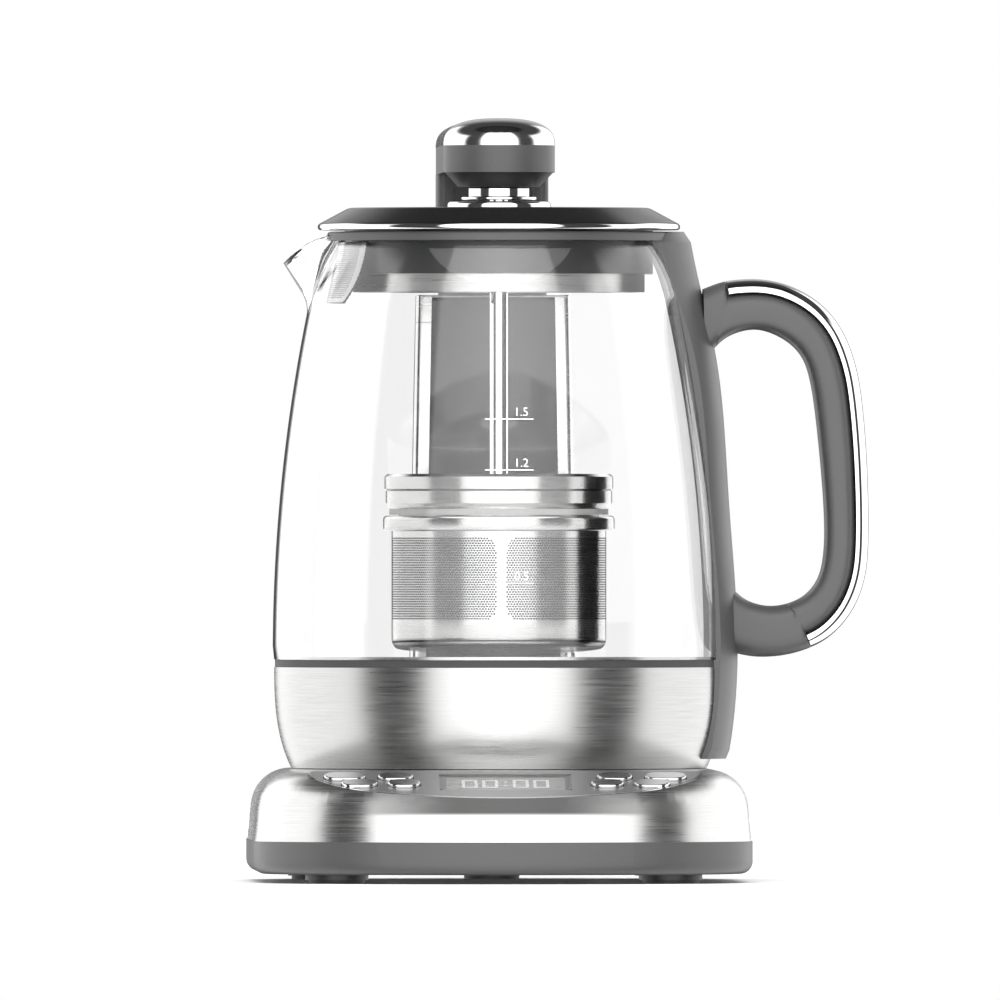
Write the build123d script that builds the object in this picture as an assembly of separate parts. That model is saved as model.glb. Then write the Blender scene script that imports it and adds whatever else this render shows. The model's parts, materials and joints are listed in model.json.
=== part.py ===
from build123d import *
import math
import os

# Automatic tea maker: a glass jug on a powered base. A motor in the rear column turns a lead screw
# that raises and lowers an arm, and the arm carries the tea basket up and down through the lid.
# Millimetres, +Z up, handle towards +X, spout towards -X, control panel towards -Y, column at +Y.
# The pieces are built about the jug's axis with the feet at z = 0, and the last lines move the
# whole assembly so that the origin is at the centre of its outline on the table.

# ---- clearances ----
seat = 0.05              # between pieces that are fixed to each other
play = 0.3               # between pieces that move past each other
slip = 0.05              # radial, a shaft in its bush

# ---- stock ----
moulding = 2.0           # wall of the plastic mouldings
sheet = 0.8              # steel sheet
glass_wall = 2.4

# ---- base ----
base_width = 176.2
panel_length = 39.2      # from the panel's rear edge to the front edge of the base
back_margin = 3.0        # behind the column
front_bow = 26.0         # how far the front edge bulges
back_bow = 22.0
front_corner = 60.0
back_corner = 48.0
band_outset = 0.4        # the lower band stands this far proud of the steel
tray_bottom = 3.2
band_height = 11.6
band_round = 4.5
cover_height = 25.2
cover_draft = 6.0        # degrees
shoulder = 14.0          # rounding of the cover's top edge

# ---- feet ----
foot_radius = 9.9
foot_rim = 1.3           # the collar is this much larger than the pad
foot_proud = 1.2         # of the pad below its collar
foot_recess = 0.9
front_feet = (59.0, -72.0)
rear_feet = (62.0, 88.0)
middle_foot = 105.0      # y of the fifth foot

# ---- control panel ----
panel_tilt = 14.5        # degrees
panel_tuck = 0.3         # of the panel's rear edge under the jug's outline
panel_rim = 1.4          # steel left in front of the panel
panel_joint = 0.6        # dark joint round the panel
button_proud = 1.2
button_travel = 0.8
button_depth = 8.6       # up the slope
rows_down = (10.9, 20.3)             # down the slope to the two rows of buttons
outer_inset = (31.5, 36.5)           # outer buttons from the side of the base, one for each row
button_pitch = (18.0, 15.8)          # from the outer to the inner buttons
outer_width = 14.6
inner_width = 12.4
window_inset = 64.85     # of the window from the side of the base
window_depth = 21.4
window_down = 16.3
window_glass = 1.2
board = 1.6
board_drop = 8.0         # below the panel's face
post_gap = 3.15          # from the window to the board's posts

# ---- boards and cord entry ----
power_y = 40.0           # middle of the mains board
power_width = 56.0
power_depth = 40.0
power_posts = 3.0        # height of its posts
# width, depth, height, x and y of the relay, the transformer and the terminals
power_blocks = ((19.0, 15.0, 15.0, -14.0, 8.0), (24.0, 20.0, 18.0, 13.0, 6.0), (14.0, 8.0, 10.0, 0.0, -13.0))
capacitor = (5.0, 16.0, -18.0, -12.0)    # radius, height, x and y
gland_x = 50.0
gland_radius = 4.2
gland_bore = 3.0
gland_length = 10.0
gland_proud = 3.0        # behind the base

# ---- dock under the jug ----
dock_radius = 62.0
dock_flange = 3.0
plug_radius = 14.0       # connector post
plug_height = 9.0        # above the base
pillar_offset = 38.0
pillar_radius = 4.5
screw_radius = 1.5
screw_head = 2.8

# ---- rear column ----
column_gap = 2.7         # between the jug's foot and the column
column_depth = 36.0
column_corner = 8.0
column_height = 168.5    # above the base's top
column_top_width = 57.0
column_taper = 0.855     # degrees on each side
strip = 5.8              # steel seen each side of the front plate
cap_height = 9.7
cap_round = 4.0

# ---- lift ----
lift_travel = 62.0
slider_width = 40.0
slider_depth = 20.0
slider_corner = 3.0
recess_width = 28.0
recess_height = 5.3
recess_drop = 4.8        # below the arm
guide_radius = 2.0
guide_offset = 24.5
screw_shaft = 4.0
journal = 2.5
bush_wall = 2.0
carriage_height = 14.0
carriage_width = 54.0
carriage_depth = 23.0
carriage_low = 85.0      # its underside with the basket down
nut_radius = 7.0
nut_flange = 10.0
module = 0.6
screw_teeth = 40
motor_teeth = 14
gear_width = 4.0
bracket_plate = 3.5
bracket_side = 3.0
bracket_height = 29.8
motor_radius = 12.0
motor_length = 20.0

# ---- arm ----
arm_radius = 19.9
arm_height = 9.6
dome_height = 9.6
dome_crown = 66.0
dome_round = 4.5
cone_height = 5.1
cone_top = 19.3
cone_bottom = 14.6
magnet_radius = 9.5

# ---- jug ----
jug_band_height = 35.8
# inset of the steel band from the glass, at shares of its height
band_insets = ((0, 6.6), (0.28, 2.9), (0.6, 1.0), (1, 0.5))
jug_radius = 80.3        # of the glass at its foot
seal_height = 2.7
floor_plate = 1.2
glass_height = 150.6     # from the seal to the rim
glass_rim = 58.4
shoulder_radius = 67.5   # where the wall turns in below the collar
shoulder_drop = 24.6     # of that place below the rim
wall_bulge = 3.3         # of the wall's arc, outside its chord
collar_radius = 62.0
lid_gap = 0.6
seal_width = 1.3         # of the soft ring outside the lid's plug
spout_out = 19.2         # of the spout's tip beyond the glass rim
spout_drop = 11.0        # of the spout's tip below the rim
spout_foot = 14.0        # of the spout's lower end below its tip
spout_over = 4.0         # of the spout's form above the rim
spout_foot_in = 10.5     # of its lower end inside the tip
spout_top_out = 7.5
spout_foot_round = 5.0
spout_top_round = 16.0
spout_slope = 32.0       # degrees, of its upper edge
element_ring = 46.0
element_radius = 4.0
element_leg = 14.0
element_arc = 330.0      # degrees
element_turn = 105.0

strainer_out = 3.0       # of its lower edge beyond the glass rim
strainer_in = 1.8        # of its upper edge inside the glass rim
strainer_height = 21.0
strainer_angle = 37.0    # each side of the spout
strainer_hole = 1.05
strainer_rows = 6
strainer_side = 6        # columns of holes each side of the middle
strainer_pitch = 2.9
strainer_turn = 5.2      # degrees between columns
strainer_edge = 3.5      # of the lowest row above the edge
probe_radius = 2.2
probe_x = 24.5
probe_y = -14.0
probe_proud = 3.4        # above the jug's floor
probe_length = 12.0      # below the glass

# ---- lid ----
lid_height = 7.9
hub_radius = 7.0
lid_flat = 53.3
lid_radius = 64.3
lid_trim = 2.3
plug_skirt = 54.7
skirt_drop = 15.9        # of the skirt below the lid's edge
lip_radius = 51.8
lip_height = 6.4
disc_radius = 18.4
disc_height = 2.3

# ---- tea basket ----
rod_radius = 3.2
neck_radius = 10.8
neck_height = 3.3
dish_radius = 13.4
dish_height = 1.3
infuser_outset = 2.5     # of the basket's lid beyond the basket
infuser_height = 12.4
infuser_groove = 5.7     # below the top
basket_seal_height = 2.1
rim_outset = 3.0         # of the rolled rim beyond the basket
rim_height = 5.4
basket_radius = 38.1
basket_depth = 39.7
basket_above_floor = 4.7
basket_round = 2.1
panels_round = 4
holes_across = 12
holes_up = 6
hole_radius = 1.25
hole_pitch = 4.5
lug_width = 24.0         # degrees
lug_drop = 5.4           # of the bayonet lugs' underside below the basket's rim
lug_thick = 1.6
lug_lift = 0.2           # above the skirt's lower edge
tab_width = 30.0
lugs = 3

# ---- handle ----
bow_inset = 45.1         # centre of the side plate's rounding, inside the radius of the jug's foot
handle_half = 25.0
grip_width = 24.0
strip_thick = 3.2
strip_width = 21.0
grip_round = 4.5
strip_round = 1.2
# out from the radius of the jug's foot, and up from the foot's underside
plate_points = (
    (0.3, 3.3), (1.6, 6.4), (3.8, 24.1), (4.5, 40.0), (1.4, 95.1), (-3.6, 148.4), (-9.7, 174.7), (-12.1, 186.5))
grip_outside = (
    (-8.3, 169.4), (11.3, 173.9), (32.3, 166.4), (45.3, 144.6), (51.0, 104.0), (51.1, 78.0),
    (44.3, 53.4), (22.7, 39.4), (1.2, 40.6))
grip_inside = (
    (-7.8, 145.5), (11.3, 155.5), (28.3, 143.8), (35.9, 98.0), (35.3, 71.0), (17.5, 56.2), (0.7, 63.5))

# ---- sizes that follow ----
rim_radius = basket_radius + rim_outset
infuser_radius = basket_radius + infuser_outset
collar_bore = plug_skirt + seal_width
strainer_bottom = glass_rim + strainer_out
strainer_top = glass_rim - strainer_in
spout_reach = glass_rim + spout_out
column_front = jug_radius + column_gap
base_back = column_front + column_depth + back_margin
panel_back = panel_tuck - jug_radius
handle_bow = jug_radius - bow_inset
base_front = panel_back - panel_length
window_width = base_width - 2 * window_inset
board_posts = window_width / 2 + post_gap
outer_buttons = [base_width / 2 - inset for inset in outer_inset]
inner_buttons = [outer - pitch for outer, pitch in zip(outer_buttons, button_pitch)]

# ---- heights that follow ----
band_top = tray_bottom + band_height
base_top = band_top + cover_height
jug_low = base_top + play
jug_band_top = jug_low + jug_band_height
glass_low = jug_band_top + seal_height
jug_floor = glass_low + floor_plate
rim_top = glass_low + glass_height
collar_top = rim_top + floor_plate
lid_low = collar_top + lid_gap
lid_top = lid_low + lid_height
disc_top = lid_top + disc_height
dish_low = disc_top + play
neck_low = dish_low + dish_height
neck_top = neck_low + neck_height
cone_low = neck_top + play
arm_low = cone_low + cone_height
arm_top = arm_low + arm_height
basket_low = jug_floor + basket_above_floor
basket_top = basket_low + basket_depth + rim_height
infuser_low = basket_top + play + basket_seal_height
infuser_top = infuser_low + infuser_height
lug_low = basket_top - lug_drop
skirt_low = lug_low - lug_lift
column_top = base_top + column_height
cap_low = column_top - cap_height
slider_y = column_front + column_depth / 2
gear_distance = module * (screw_teeth + motor_teeth) / 2
tray_floor = tray_bottom + moulding
bracket_top = tray_floor + bracket_height
gear_low = bracket_top + play
side_front = base_front + front_bow
side_back = base_back - back_bow
dock_leg_low = band_top
power_low = tray_floor + power_posts
gland_z = (tray_floor + band_top) / 2
gland_back = base_back + gland_proud - back_bow * (2 * gland_x / base_width) ** 2

STANDING = (Align.CENTER, Align.CENTER, Align.MIN)
SLOPE = Plane(
    origin=(0, panel_back, base_top),
    x_dir=(1, 0, 0),
    z_dir=(0, -math.sin(math.radians(panel_tilt)), math.cos(math.radians(panel_tilt))),
)


# ---- shared forms ----
def post(radius, low, high, x=0.0, y=0.0):
    """Upright round bar."""
    return Pos(x, y, low) * Cylinder(radius, high - low, align=STANDING)


def tube(outer, inner, low, high, x=0.0, y=0.0):
    """Upright ring."""
    return post(outer, low, high, x, y) - post(inner, low - 1, high + 1, x, y)


def block(width, depth, low, high, x=0.0, y=0.0):
    """Upright box, centred on x and y."""
    return Pos(x, y, low) * Box(width, depth, high - low, align=STANDING)


def turned(*points):
    """Solid of revolution about the jug's axis, from (radius, height) corners."""
    return revolve(Plane.XZ * make_face(Polyline(*points, close=True)), axis=Axis.Z)


def on_slope(across, down, above, piece):
    """Piece placed on the panel: across it, down its slope, above its face."""
    return SLOPE.location * Pos(across, -down, above) * piece


def pill(width, depth):
    """Long round-ended outline."""
    return SlotOverall(width, depth)


# ---- base ----
def base_plan(inset):
    """Outline of the base: bowed front and rear edges, straight sides, round corners."""
    half = base_width / 2
    edges = [
        ThreePointArc((-half, side_front), (0, base_front), (half, side_front)),
        Line((half, side_front), (half, side_back)),
        ThreePointArc((half, side_back), (0, base_back), (-half, side_back)),
        Line((-half, side_back), (-half, side_front)),
    ]
    face = make_face(edges)
    corners = face.vertices().sort_by(Axis.Y)
    face = fillet(corners[:2], front_corner)
    corners = face.vertices().sort_by(Axis.Y)
    face = fillet(corners[-2:], back_corner)
    return offset(face, -inset) if inset else face


def cover_form(inset, drop, top=base_top):
    """The upper base, smaller by inset, with its slope lowered by drop."""
    height = top - band_top
    form = Pos(0, 0, band_top) * extrude(base_plan(inset), height, taper=cover_draft)
    form = fillet(form.faces().sort_by(Axis.Z)[-1].edges(), shoulder - inset)
    above = Box(2 * base_width, 2 * base_width, base_width, align=STANDING)
    return form - on_slope(0, 0, -drop, above)


def slope_layer(inset, above, below):
    """Layer of the sloping part, between two depths under the panel's face."""
    thick = below - above
    layer = on_slope(0, 0, -below, Box(2 * base_width, 2 * base_width, thick, align=STANDING))
    ahead = block(2 * base_width, base_width, 0, base_top + 1, y=panel_back - panel_rim - base_width / 2)
    return cover_form(inset, 0) & layer & ahead


def base_cover():
    """Steel shell over the top of the base."""
    shell = cover_form(0, 0) - cover_form(sheet, sheet, base_top - sheet)
    shell -= slope_layer(panel_rim, -1, board_drop)
    shell -= post(dock_radius, base_top - shoulder, base_top + 1)
    return shell - column_form(sheet + moulding, band_top + 1, base_top + 1)


def foot_places():
    """Centres of the five feet."""
    places = [(side * x, y) for x, y in (front_feet, rear_feet) for side in (-1, 1)]
    return places + [(0, middle_foot)]


def pillar_places():
    """Centres of the four screws under the dock."""
    return [(x * pillar_offset, y * pillar_offset) for x in (-1, 1) for y in (-1, 1)]


def tray_form(inset, low):
    """The lower base, smaller by inset."""
    form = Pos(0, 0, low) * extrude(base_plan(inset - band_outset), band_top - low)
    return fillet(form.faces().sort_by(Axis.Z)[0].edges(), band_round - inset)


def base_tray():
    """Moulded tray with feet collars and screw pillars."""
    tray = tray_form(0, tray_bottom)
    hollow = tray_form(moulding, tray_floor)
    tray -= hollow
    for x, y in foot_places():
        tray += post(foot_radius + foot_rim, foot_proud, tray_bottom + seat, x, y)
    for x, y in foot_places():
        tray -= post(foot_radius + seat, 0, foot_proud + foot_recess, x, y)
    for x, y in pillar_places():
        tray += post(pillar_radius, tray_floor - seat, band_top, x, y)
        tray -= post(screw_head + play, 0, tray_floor, x, y)
        tray -= post(screw_radius + play, 0, band_top + 1, x, y)
    for x in (-1, 1):
        for y in (-1, 1):
            corner = (x * (power_width / 2 - 5), power_y + y * (power_depth / 2 - 5))
            tray += post(3, tray_floor - seat, power_low, *corner)
    return tray - cord_gland_form(seat)


def foot_pads():
    """Five rubber pads."""
    return [post(foot_radius, 0, foot_proud + foot_recess - seat, x, y) for x, y in foot_places()]


def base_screws():
    """Four screws that clamp the dock and the cover to the tray."""
    shank_top = dock_leg_low + 10
    screws = []
    for x, y in pillar_places():
        head = post(screw_head, tray_floor - moulding + 0.4, tray_floor, x, y)
        screws.append(head + post(screw_radius, tray_floor - 1, shank_top, x, y))
    return screws


# ---- dock ----
def dock_plate():
    """Plastic plate under the jug, with its legs."""
    low = base_top - sheet - moulding
    plate = post(dock_radius - seat, base_top - sheet - seat, base_top)
    plate += post(dock_radius + dock_flange, low, base_top - sheet - seat)
    for x, y in pillar_places():
        plate += post(pillar_radius, dock_leg_low, low + 1, x, y)
        plate -= post(screw_radius + seat, dock_leg_low - 1, dock_leg_low + 12, x, y)
    return plate - post(plug_radius + seat, low - 1, base_top + 1)


def base_connector():
    """Round power connector standing in the dock."""
    low = base_top - sheet - moulding
    top = base_top + plug_height
    body = post(plug_radius, low - 6, top) + post(plug_radius + 4, low - 6, low)
    for radius in (plug_radius - 4, plug_radius - 8):
        body -= tube(radius + 1, radius - 1, top - 5, top + 1)
    return chamfer(body.edges().filter_by(GeomType.CIRCLE).sort_by(Axis.Z)[-6:], 0.3)


def power_board():
    """Mains board with relay, capacitor and transformer."""
    low = power_low
    top = low + board
    piece = block(power_width, power_depth, low, top, 0, power_y)
    for width, depth, height, x, y in power_blocks:
        piece += block(width, depth, top, top + height, x, power_y + y)
    radius, height, x, y = capacitor
    return piece + post(radius, top, top + height, x, power_y + y)


def cord_gland_form(grow):
    """Outside of the cord's rubber gland, in the rear wall of the tray."""
    body = Rot(-90, 0, 0) * Cylinder(gland_radius + grow, gland_length, align=STANDING)
    return Pos(gland_x, gland_back - gland_length, gland_z) * body


def cord_gland():
    """Rubber gland where the mains cord enters."""
    bore = Rot(-90, 0, 0) * Cylinder(gland_bore, gland_length + 2, align=STANDING)
    return cord_gland_form(0) - Pos(gland_x, gland_back - gland_length - 1, gland_z) * bore


# ---- control panel ----
def button_places():
    """Across, down and width of the eight buttons."""
    places = []
    for row, down in enumerate(rows_down):
        for side in (-1, 1):
            places.append((side * outer_buttons[row], down, outer_width - 2 * row))
            places.append((side * inner_buttons[row], down, inner_width - row))
    return places


def control_panel():
    """Sloping plastic panel with its openings and board posts."""
    panel = slope_layer(panel_rim + panel_joint, 0, moulding)
    for across, down, width in button_places():
        hole = extrude(pill(width + 2 * play, button_depth + 2 * play), 4 * moulding, both=True)
        panel -= on_slope(across, down, 0, hole)
    window = Box(window_width + 2 * seat, window_depth + 2 * seat, 2 * window_glass + 2 * seat)
    panel -= on_slope(0, window_down, 0, window)
    panel -= on_slope(0, window_down, 0, Box(window_width - 4, window_depth - 4, 4 * moulding))
    for across in (-board_posts, board_posts):
        for down in rows_down:
            length = board_drop - moulding
            spacer = Cylinder(1.8, length, align=STANDING)
            panel += on_slope(across, down, -board_drop, spacer)
    return panel


def display_window():
    """Clear window of the display."""
    body = Box(window_width, window_depth, window_glass, align=STANDING)
    return on_slope(0, window_down, -window_glass, fillet(body.edges().filter_by(Axis.Z), 1.5))


def control_board():
    """Board under the panel with the display and eight switches."""
    piece = slope_layer(panel_rim + 3, board_drop + seat, board_drop + board)
    glass = Box(window_width - 5, window_depth - 5, board_drop - window_glass - 2 * seat, align=STANDING)
    piece += on_slope(0, window_down, -board_drop - seat, glass)
    for across, down, _ in button_places():
        switch = Box(5, 5, 1.5, align=STANDING)
        piece += on_slope(across, down, -board_drop - seat, switch)
    return piece


def button(across, down, width):
    """Chromed push button with its flange and stem."""
    flange_top = -moulding - play
    cap = extrude(pill(width, button_depth), button_proud - flange_top)
    cap = fillet(cap.faces().sort_by(Axis.Z)[-1].edges(), 0.5)
    flange = extrude(pill(width + 1.6, button_depth), 0.8)
    stem_low = -board_drop + 1.5 + button_travel + play
    stem = Cylinder(1.5, flange_top - stem_low, align=STANDING)
    whole = Pos(0, 0, flange_top) * cap + Pos(0, 0, flange_top - 0.8) * flange + Pos(0, 0, stem_low) * stem
    return on_slope(across, down, 0, whole)


# ---- rear column ----
def column_width(height):
    """Width of the column at a height."""
    return column_top_width + 2 * (column_top - height) * math.tan(math.radians(column_taper))


def column_form(inset, low, high):
    """Tapered column with an upright front, smaller by inset."""
    sections = []
    for height in (low, high):
        outline = RectangleRounded(
            column_width(height) - 2 * inset, column_depth - 2 * inset, column_corner - inset)
        sections.append(Pos(0, slider_y, height) * outline)
    return loft(sections)


def front_opening(margin, depth, low, high):
    """Tapered slab in the middle of the column's front wall."""
    sections = []
    for height in (low, high):
        outline = Rectangle(column_width(height) - 2 * margin, depth, align=(Align.CENTER, Align.MIN))
        sections.append(Pos(0, column_front, height) * outline)
    return loft(sections)


def column_foot_cut():
    """What the base takes away from the foot of the column."""
    return cover_form(-seat, -seat, base_top + seat) + block(2 * base_width, 2 * base_width, 0, band_top + 2, y=slider_y)


def column_shell():
    """Steel shell of the column, open along its front."""
    low = base_top - shoulder
    shell = column_form(0, low, cap_low) - column_form(sheet, low, cap_low)
    shell -= Pos(0, -1, 0) * front_opening(strip, 2 + 2 * sheet, low, cap_low)
    return shell - column_foot_cut()


def column_front_plate():
    """Moulded front of the column."""
    return front_opening(strip + seat, moulding, base_top + seat, column_top - moulding - seat)


def column_cap():
    """Top of the column, with the slider's slot and sockets for the guide rods."""
    cap = column_form(0, cap_low + seat, column_top)
    cap = fillet(cap.faces().sort_by(Axis.Z)[-1].edges(), cap_round)
    cap -= column_form(moulding, cap_low, column_top - moulding)
    for side in (-1, 1):
        x = side * guide_offset
        cap += post(guide_radius + 1, cap_low + seat, column_top - moulding, x, slider_y)
        cap -= post(guide_radius + seat, cap_low - 1, column_top - 2 * moulding, x, slider_y)
    slot = RectangleRounded(slider_width + 2 * play, slider_depth + 2 * play, slider_corner + play)
    cap -= Pos(0, slider_y, cap_low - 1) * extrude(slot, cap_height + 2)
    notch = front_opening(strip, moulding + seat, cap_low, column_top - moulding)
    return cap - notch


def guide_rods():
    """Two steel rods that guide the carriage."""
    low = bracket_top - bracket_plate
    high = column_top - 2 * moulding - seat
    return [post(guide_radius, low, high, side * guide_offset, slider_y) for side in (-1, 1)]


def lift_bracket():
    """Frame in the base that holds the rods, the screw and the motor."""
    width = 2 * (gear_distance + motor_radius + play + bracket_side)
    depth = slider_depth
    frame = block(width, depth, tray_floor, bracket_top, y=slider_y)
    inner_low = tray_floor + bracket_plate
    inner_high = bracket_top - bracket_plate
    frame -= block(width - 2 * bracket_side, depth + 2, inner_low, inner_high, y=slider_y)
    for side in (-1, 1):
        frame -= post(guide_radius + seat, inner_high, bracket_top + 1, side * guide_offset, slider_y)
    frame -= post(journal + bush_wall + seat, tray_floor, bracket_top + 1, y=slider_y)
    return frame - post(3.2, inner_high - 1, bracket_top + 1, gear_distance, slider_y)


def screw_bushes():
    """Two bronze bushes of the lead screw."""
    spans = ((tray_floor + seat, tray_floor + bracket_plate), (bracket_top - bracket_plate, bracket_top))
    return [tube(journal + bush_wall, journal + slip, low, high, y=slider_y) for low, high in spans]


def lift_motor():
    """Small gear motor under the bracket's upper plate."""
    top = bracket_top - bracket_plate - seat
    body = post(motor_radius, top - motor_length, top, gear_distance, slider_y)
    flat_y = slider_y + 1.25 * motor_radius
    body -= block(2 * motor_radius, motor_radius, top - motor_length - 1, top - motor_length + 3, gear_distance, flat_y)
    return body - post(1.5 + slip, top - 8, top + 1, gear_distance, slider_y)


# ---- lift ----
def gear(teeth, phase, low):
    """Spur gear with plain straight-sided teeth and some backlash."""
    pitch = module * teeth / 2
    step = 360 / teeth
    corners = []
    for tooth in range(teeth):
        for turn, reach in ((-0.31, -1.2), (-0.11, 0.85), (0.11, 0.85), (0.31, -1.2)):
            angle = math.radians(phase + (tooth + turn) * step)
            radius = pitch + reach * module
            corners.append((radius * math.cos(angle), radius * math.sin(angle)))
    return Pos(0, 0, low) * extrude(make_face(Polyline(*corners, close=True)), gear_width)


def lead_screw():
    """Lead screw, drawn as a plain bar over its thread."""
    shaft = post(screw_shaft, gear_low, carriage_low + carriage_height + lift_travel + 9, y=slider_y)
    return shaft + post(journal, tray_floor + seat, gear_low, y=slider_y)


def screw_gear():
    """Gear on the foot of the lead screw."""
    wheel = Pos(0, slider_y, 0) * gear(screw_teeth, 0, gear_low)
    wheel += tube(screw_shaft + 3, screw_shaft, gear_low, gear_low + gear_width + 3, y=slider_y)
    return wheel - post(screw_shaft + seat, gear_low - 1, gear_low + gear_width + 4, y=slider_y)


def motor_pinion():
    """Pinion on the motor's shaft."""
    half_tooth = 180 / motor_teeth
    wheel = Pos(gear_distance, slider_y, 0) * gear(motor_teeth, 180 + half_tooth, gear_low)
    return wheel + post(1.5, bracket_top - bracket_plate - 7, gear_low + gear_width, gear_distance, slider_y)


def carriage():
    """Block that rides on the two rods and carries the slider."""
    body = block(carriage_width, carriage_depth, carriage_low, carriage_low + carriage_height, y=slider_y)
    body = fillet(body.edges().filter_by(Axis.Z), 3)
    for side in (-1, 1):
        body -= post(guide_radius + slip, 0, column_top, side * guide_offset, slider_y)
    return body - post(nut_radius + seat, 0, column_top, y=slider_y)


def lift_nut():
    """Flanged brass nut on the lead screw."""
    high = carriage_low + carriage_height
    nut = post(nut_radius, carriage_low - 3, high, y=slider_y)
    nut += post(nut_flange, carriage_low - 3, carriage_low, y=slider_y)
    return nut - post(screw_shaft + slip, 0, column_top, y=slider_y)


def slider():
    """Square tube that telescopes out of the column."""
    low = carriage_low + carriage_height
    outline = RectangleRounded(slider_width, slider_depth, slider_corner)
    hollow = RectangleRounded(slider_width - 2 * moulding, slider_depth - 2 * moulding, 1)
    body = Pos(0, slider_y, low) * extrude(outline - hollow, arm_low - low)
    recess_top = arm_low - recess_drop
    recess = block(recess_width, 2 * sheet, recess_top - recess_height, recess_top,
                   y=slider_y - slider_depth / 2)
    return body - recess


# ---- arm ----
def arm_plan(inset):
    """Outline of the arm: round over the lid, square behind the slider."""
    radius = arm_radius - inset
    back = slider_y + slider_depth / 2 + 1 - inset
    bar = Rectangle(2 * radius, back, align=(Align.CENTER, Align.MIN))
    bar = fillet(bar.vertices().sort_by(Axis.Y)[-2:], slider_corner + 1)
    return bar + Circle(radius)


def arm_body():
    """Moulded body of the arm."""
    body = Pos(0, 0, arm_low) * extrude(arm_plan(0), arm_height)
    return body - Pos(0, 0, arm_low + moulding) * extrude(arm_plan(moulding), arm_height)


def dome_form(inset):
    """Crowned top of the arm, smaller by inset."""
    top = arm_top + dome_height - inset
    side = arm_radius - inset
    knee = side - dome_round
    knee_z = top - dome_crown + math.sqrt(dome_crown ** 2 - knee ** 2)
    bend = dome_round * math.sqrt(0.5)
    crown_z = top - dome_crown + math.sqrt(dome_crown ** 2 - knee ** 2 / 4)
    shoulder_z = knee_z - dome_round
    half = make_face([
        ThreePointArc((0, top), (knee / 2, crown_z), (knee, knee_z)),
        ThreePointArc((knee, knee_z), (knee + bend, shoulder_z + bend), (side, shoulder_z)),
        Polyline((side, shoulder_z), (side, arm_top), (0, arm_top), (0, top)),
    ])
    back = slider_y + slider_depth / 2 + 1 - inset
    bar = extrude(Plane.XZ * (half + mirror(half, about=Plane.YZ)), -back)
    return bar + revolve(Plane.XZ * half, axis=Axis.Z)


def arm_cover():
    """Chromed cover of the arm."""
    return dome_form(0) - dome_form(moulding - seat)


def head_cone():
    """Dark ring under the head, over the neck of the basket's rod."""
    cone = turned((0, cone_low), (cone_bottom, cone_low), (cone_top, arm_low), (0, arm_low))
    return cone - post(magnet_radius + seat, cone_low + sheet, arm_low + 1)


def head_magnet():
    """Magnet that holds the neck."""
    return post(magnet_radius, cone_low + sheet, arm_low - seat)


# ---- jug ----
def glass_profile(inset):
    """Half section of the jug's body, closed to the axis, smaller by inset."""
    foot = (jug_radius - inset, glass_low + seat)
    turn = (shoulder_radius - inset, rim_top - shoulder_drop)
    middle = ((foot[0] + turn[0]) / 2 + wall_bulge, (foot[1] + turn[1]) / 2)
    rim = (glass_rim - inset, rim_top)
    wall = ThreePointArc(foot, middle, turn)
    neck = TangentArc(turn, rim, tangent=wall % 1)
    closing = Polyline(rim, (0, rim_top), (0, foot[1]), foot)
    return revolve(Plane.XZ * make_face([wall, neck, closing]), axis=Axis.Z)


def spout_form(inset):
    """Drooping lip of the spout, smaller by inset."""
    foot = (rim_top - spout_drop - spout_foot, spout_reach - spout_foot_in, spout_foot_round)
    mouth = (rim_top + spout_over, spout_reach + spout_top_out, spout_top_round)
    sections = []
    for height, reach, radius in (foot, mouth):
        sections.append(Pos(-reach + radius, 0, height) * Circle(radius - inset))
    form = loft(sections)
    cut = Box(spout_reach, 2 * spout_reach, spout_reach, align=(Align.MAX, Align.CENTER, Align.MIN))
    return form - Pos(-glass_rim - 3, 0, rim_top - 0.6) * Rot(0, -spout_slope, 0) * cut


def glass_body():
    """Glass wall of the jug with its spout."""
    body = glass_profile(0)
    spout = spout_form(0)
    inside = glass_profile(glass_wall)
    hollow = spout_form(glass_wall - 0.4)
    hollow += Pos(-0.7, 0, 0.7) * hollow
    body = body + spout - inside - hollow
    body -= post(glass_rim - glass_wall, rim_top - 3, rim_top + 5)
    solid = body.solids().sort_by(SortBy.VOLUME)[-1]
    return solid - block(4 * jug_radius, 4 * jug_radius, rim_top, arm_top)


def collar():
    """Moulded ring over the glass rim."""
    low = rim_top - moulding
    ring = tube(collar_radius, collar_bore, low, collar_top)
    top_edge = ring.edges().filter_by(GeomType.CIRCLE).sort_by(Axis.Z)[-2:]
    ring = fillet(top_edge.sort_by(SortBy.LENGTH)[-1], 1.0)
    ring -= glass_profile(-seat) - post(glass_rim - glass_wall - seat, low - 1, rim_top + 1)
    ring -= spout_form(-play)
    return ring.solids().sort_by(SortBy.VOLUME)[-1]


def spout_strainer():
    """Perforated strainer behind the spout."""
    low = rim_top - moulding - 1.2 - strainer_height
    high = low + strainer_height
    wall = turned((strainer_bottom - sheet, low), (strainer_bottom, low),
                  (strainer_top, high), (strainer_top - sheet, high))
    reach = 2 * strainer_bottom
    wedge = Polyline((0, 0), (-reach, reach * math.tan(math.radians(strainer_angle))),
                     (-reach, -reach * math.tan(math.radians(strainer_angle))), close=True)
    wall &= Pos(0, 0, low - 1) * extrude(make_face(wedge), strainer_height + 2)
    holes = []
    for row in range(strainer_rows):
        for column in range(-strainer_side, strainer_side + 1):
            height = low + strainer_edge + row * strainer_pitch
            place = Pos(-(strainer_bottom + strainer_top) / 2, 0, height) * Rot(0, 90, 0)
            pin = place * Cylinder(strainer_hole, 2 * (strainer_bottom - strainer_top))
            holes.append(Rot(0, 0, column * strainer_turn) * pin)
    return wall - holes


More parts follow.
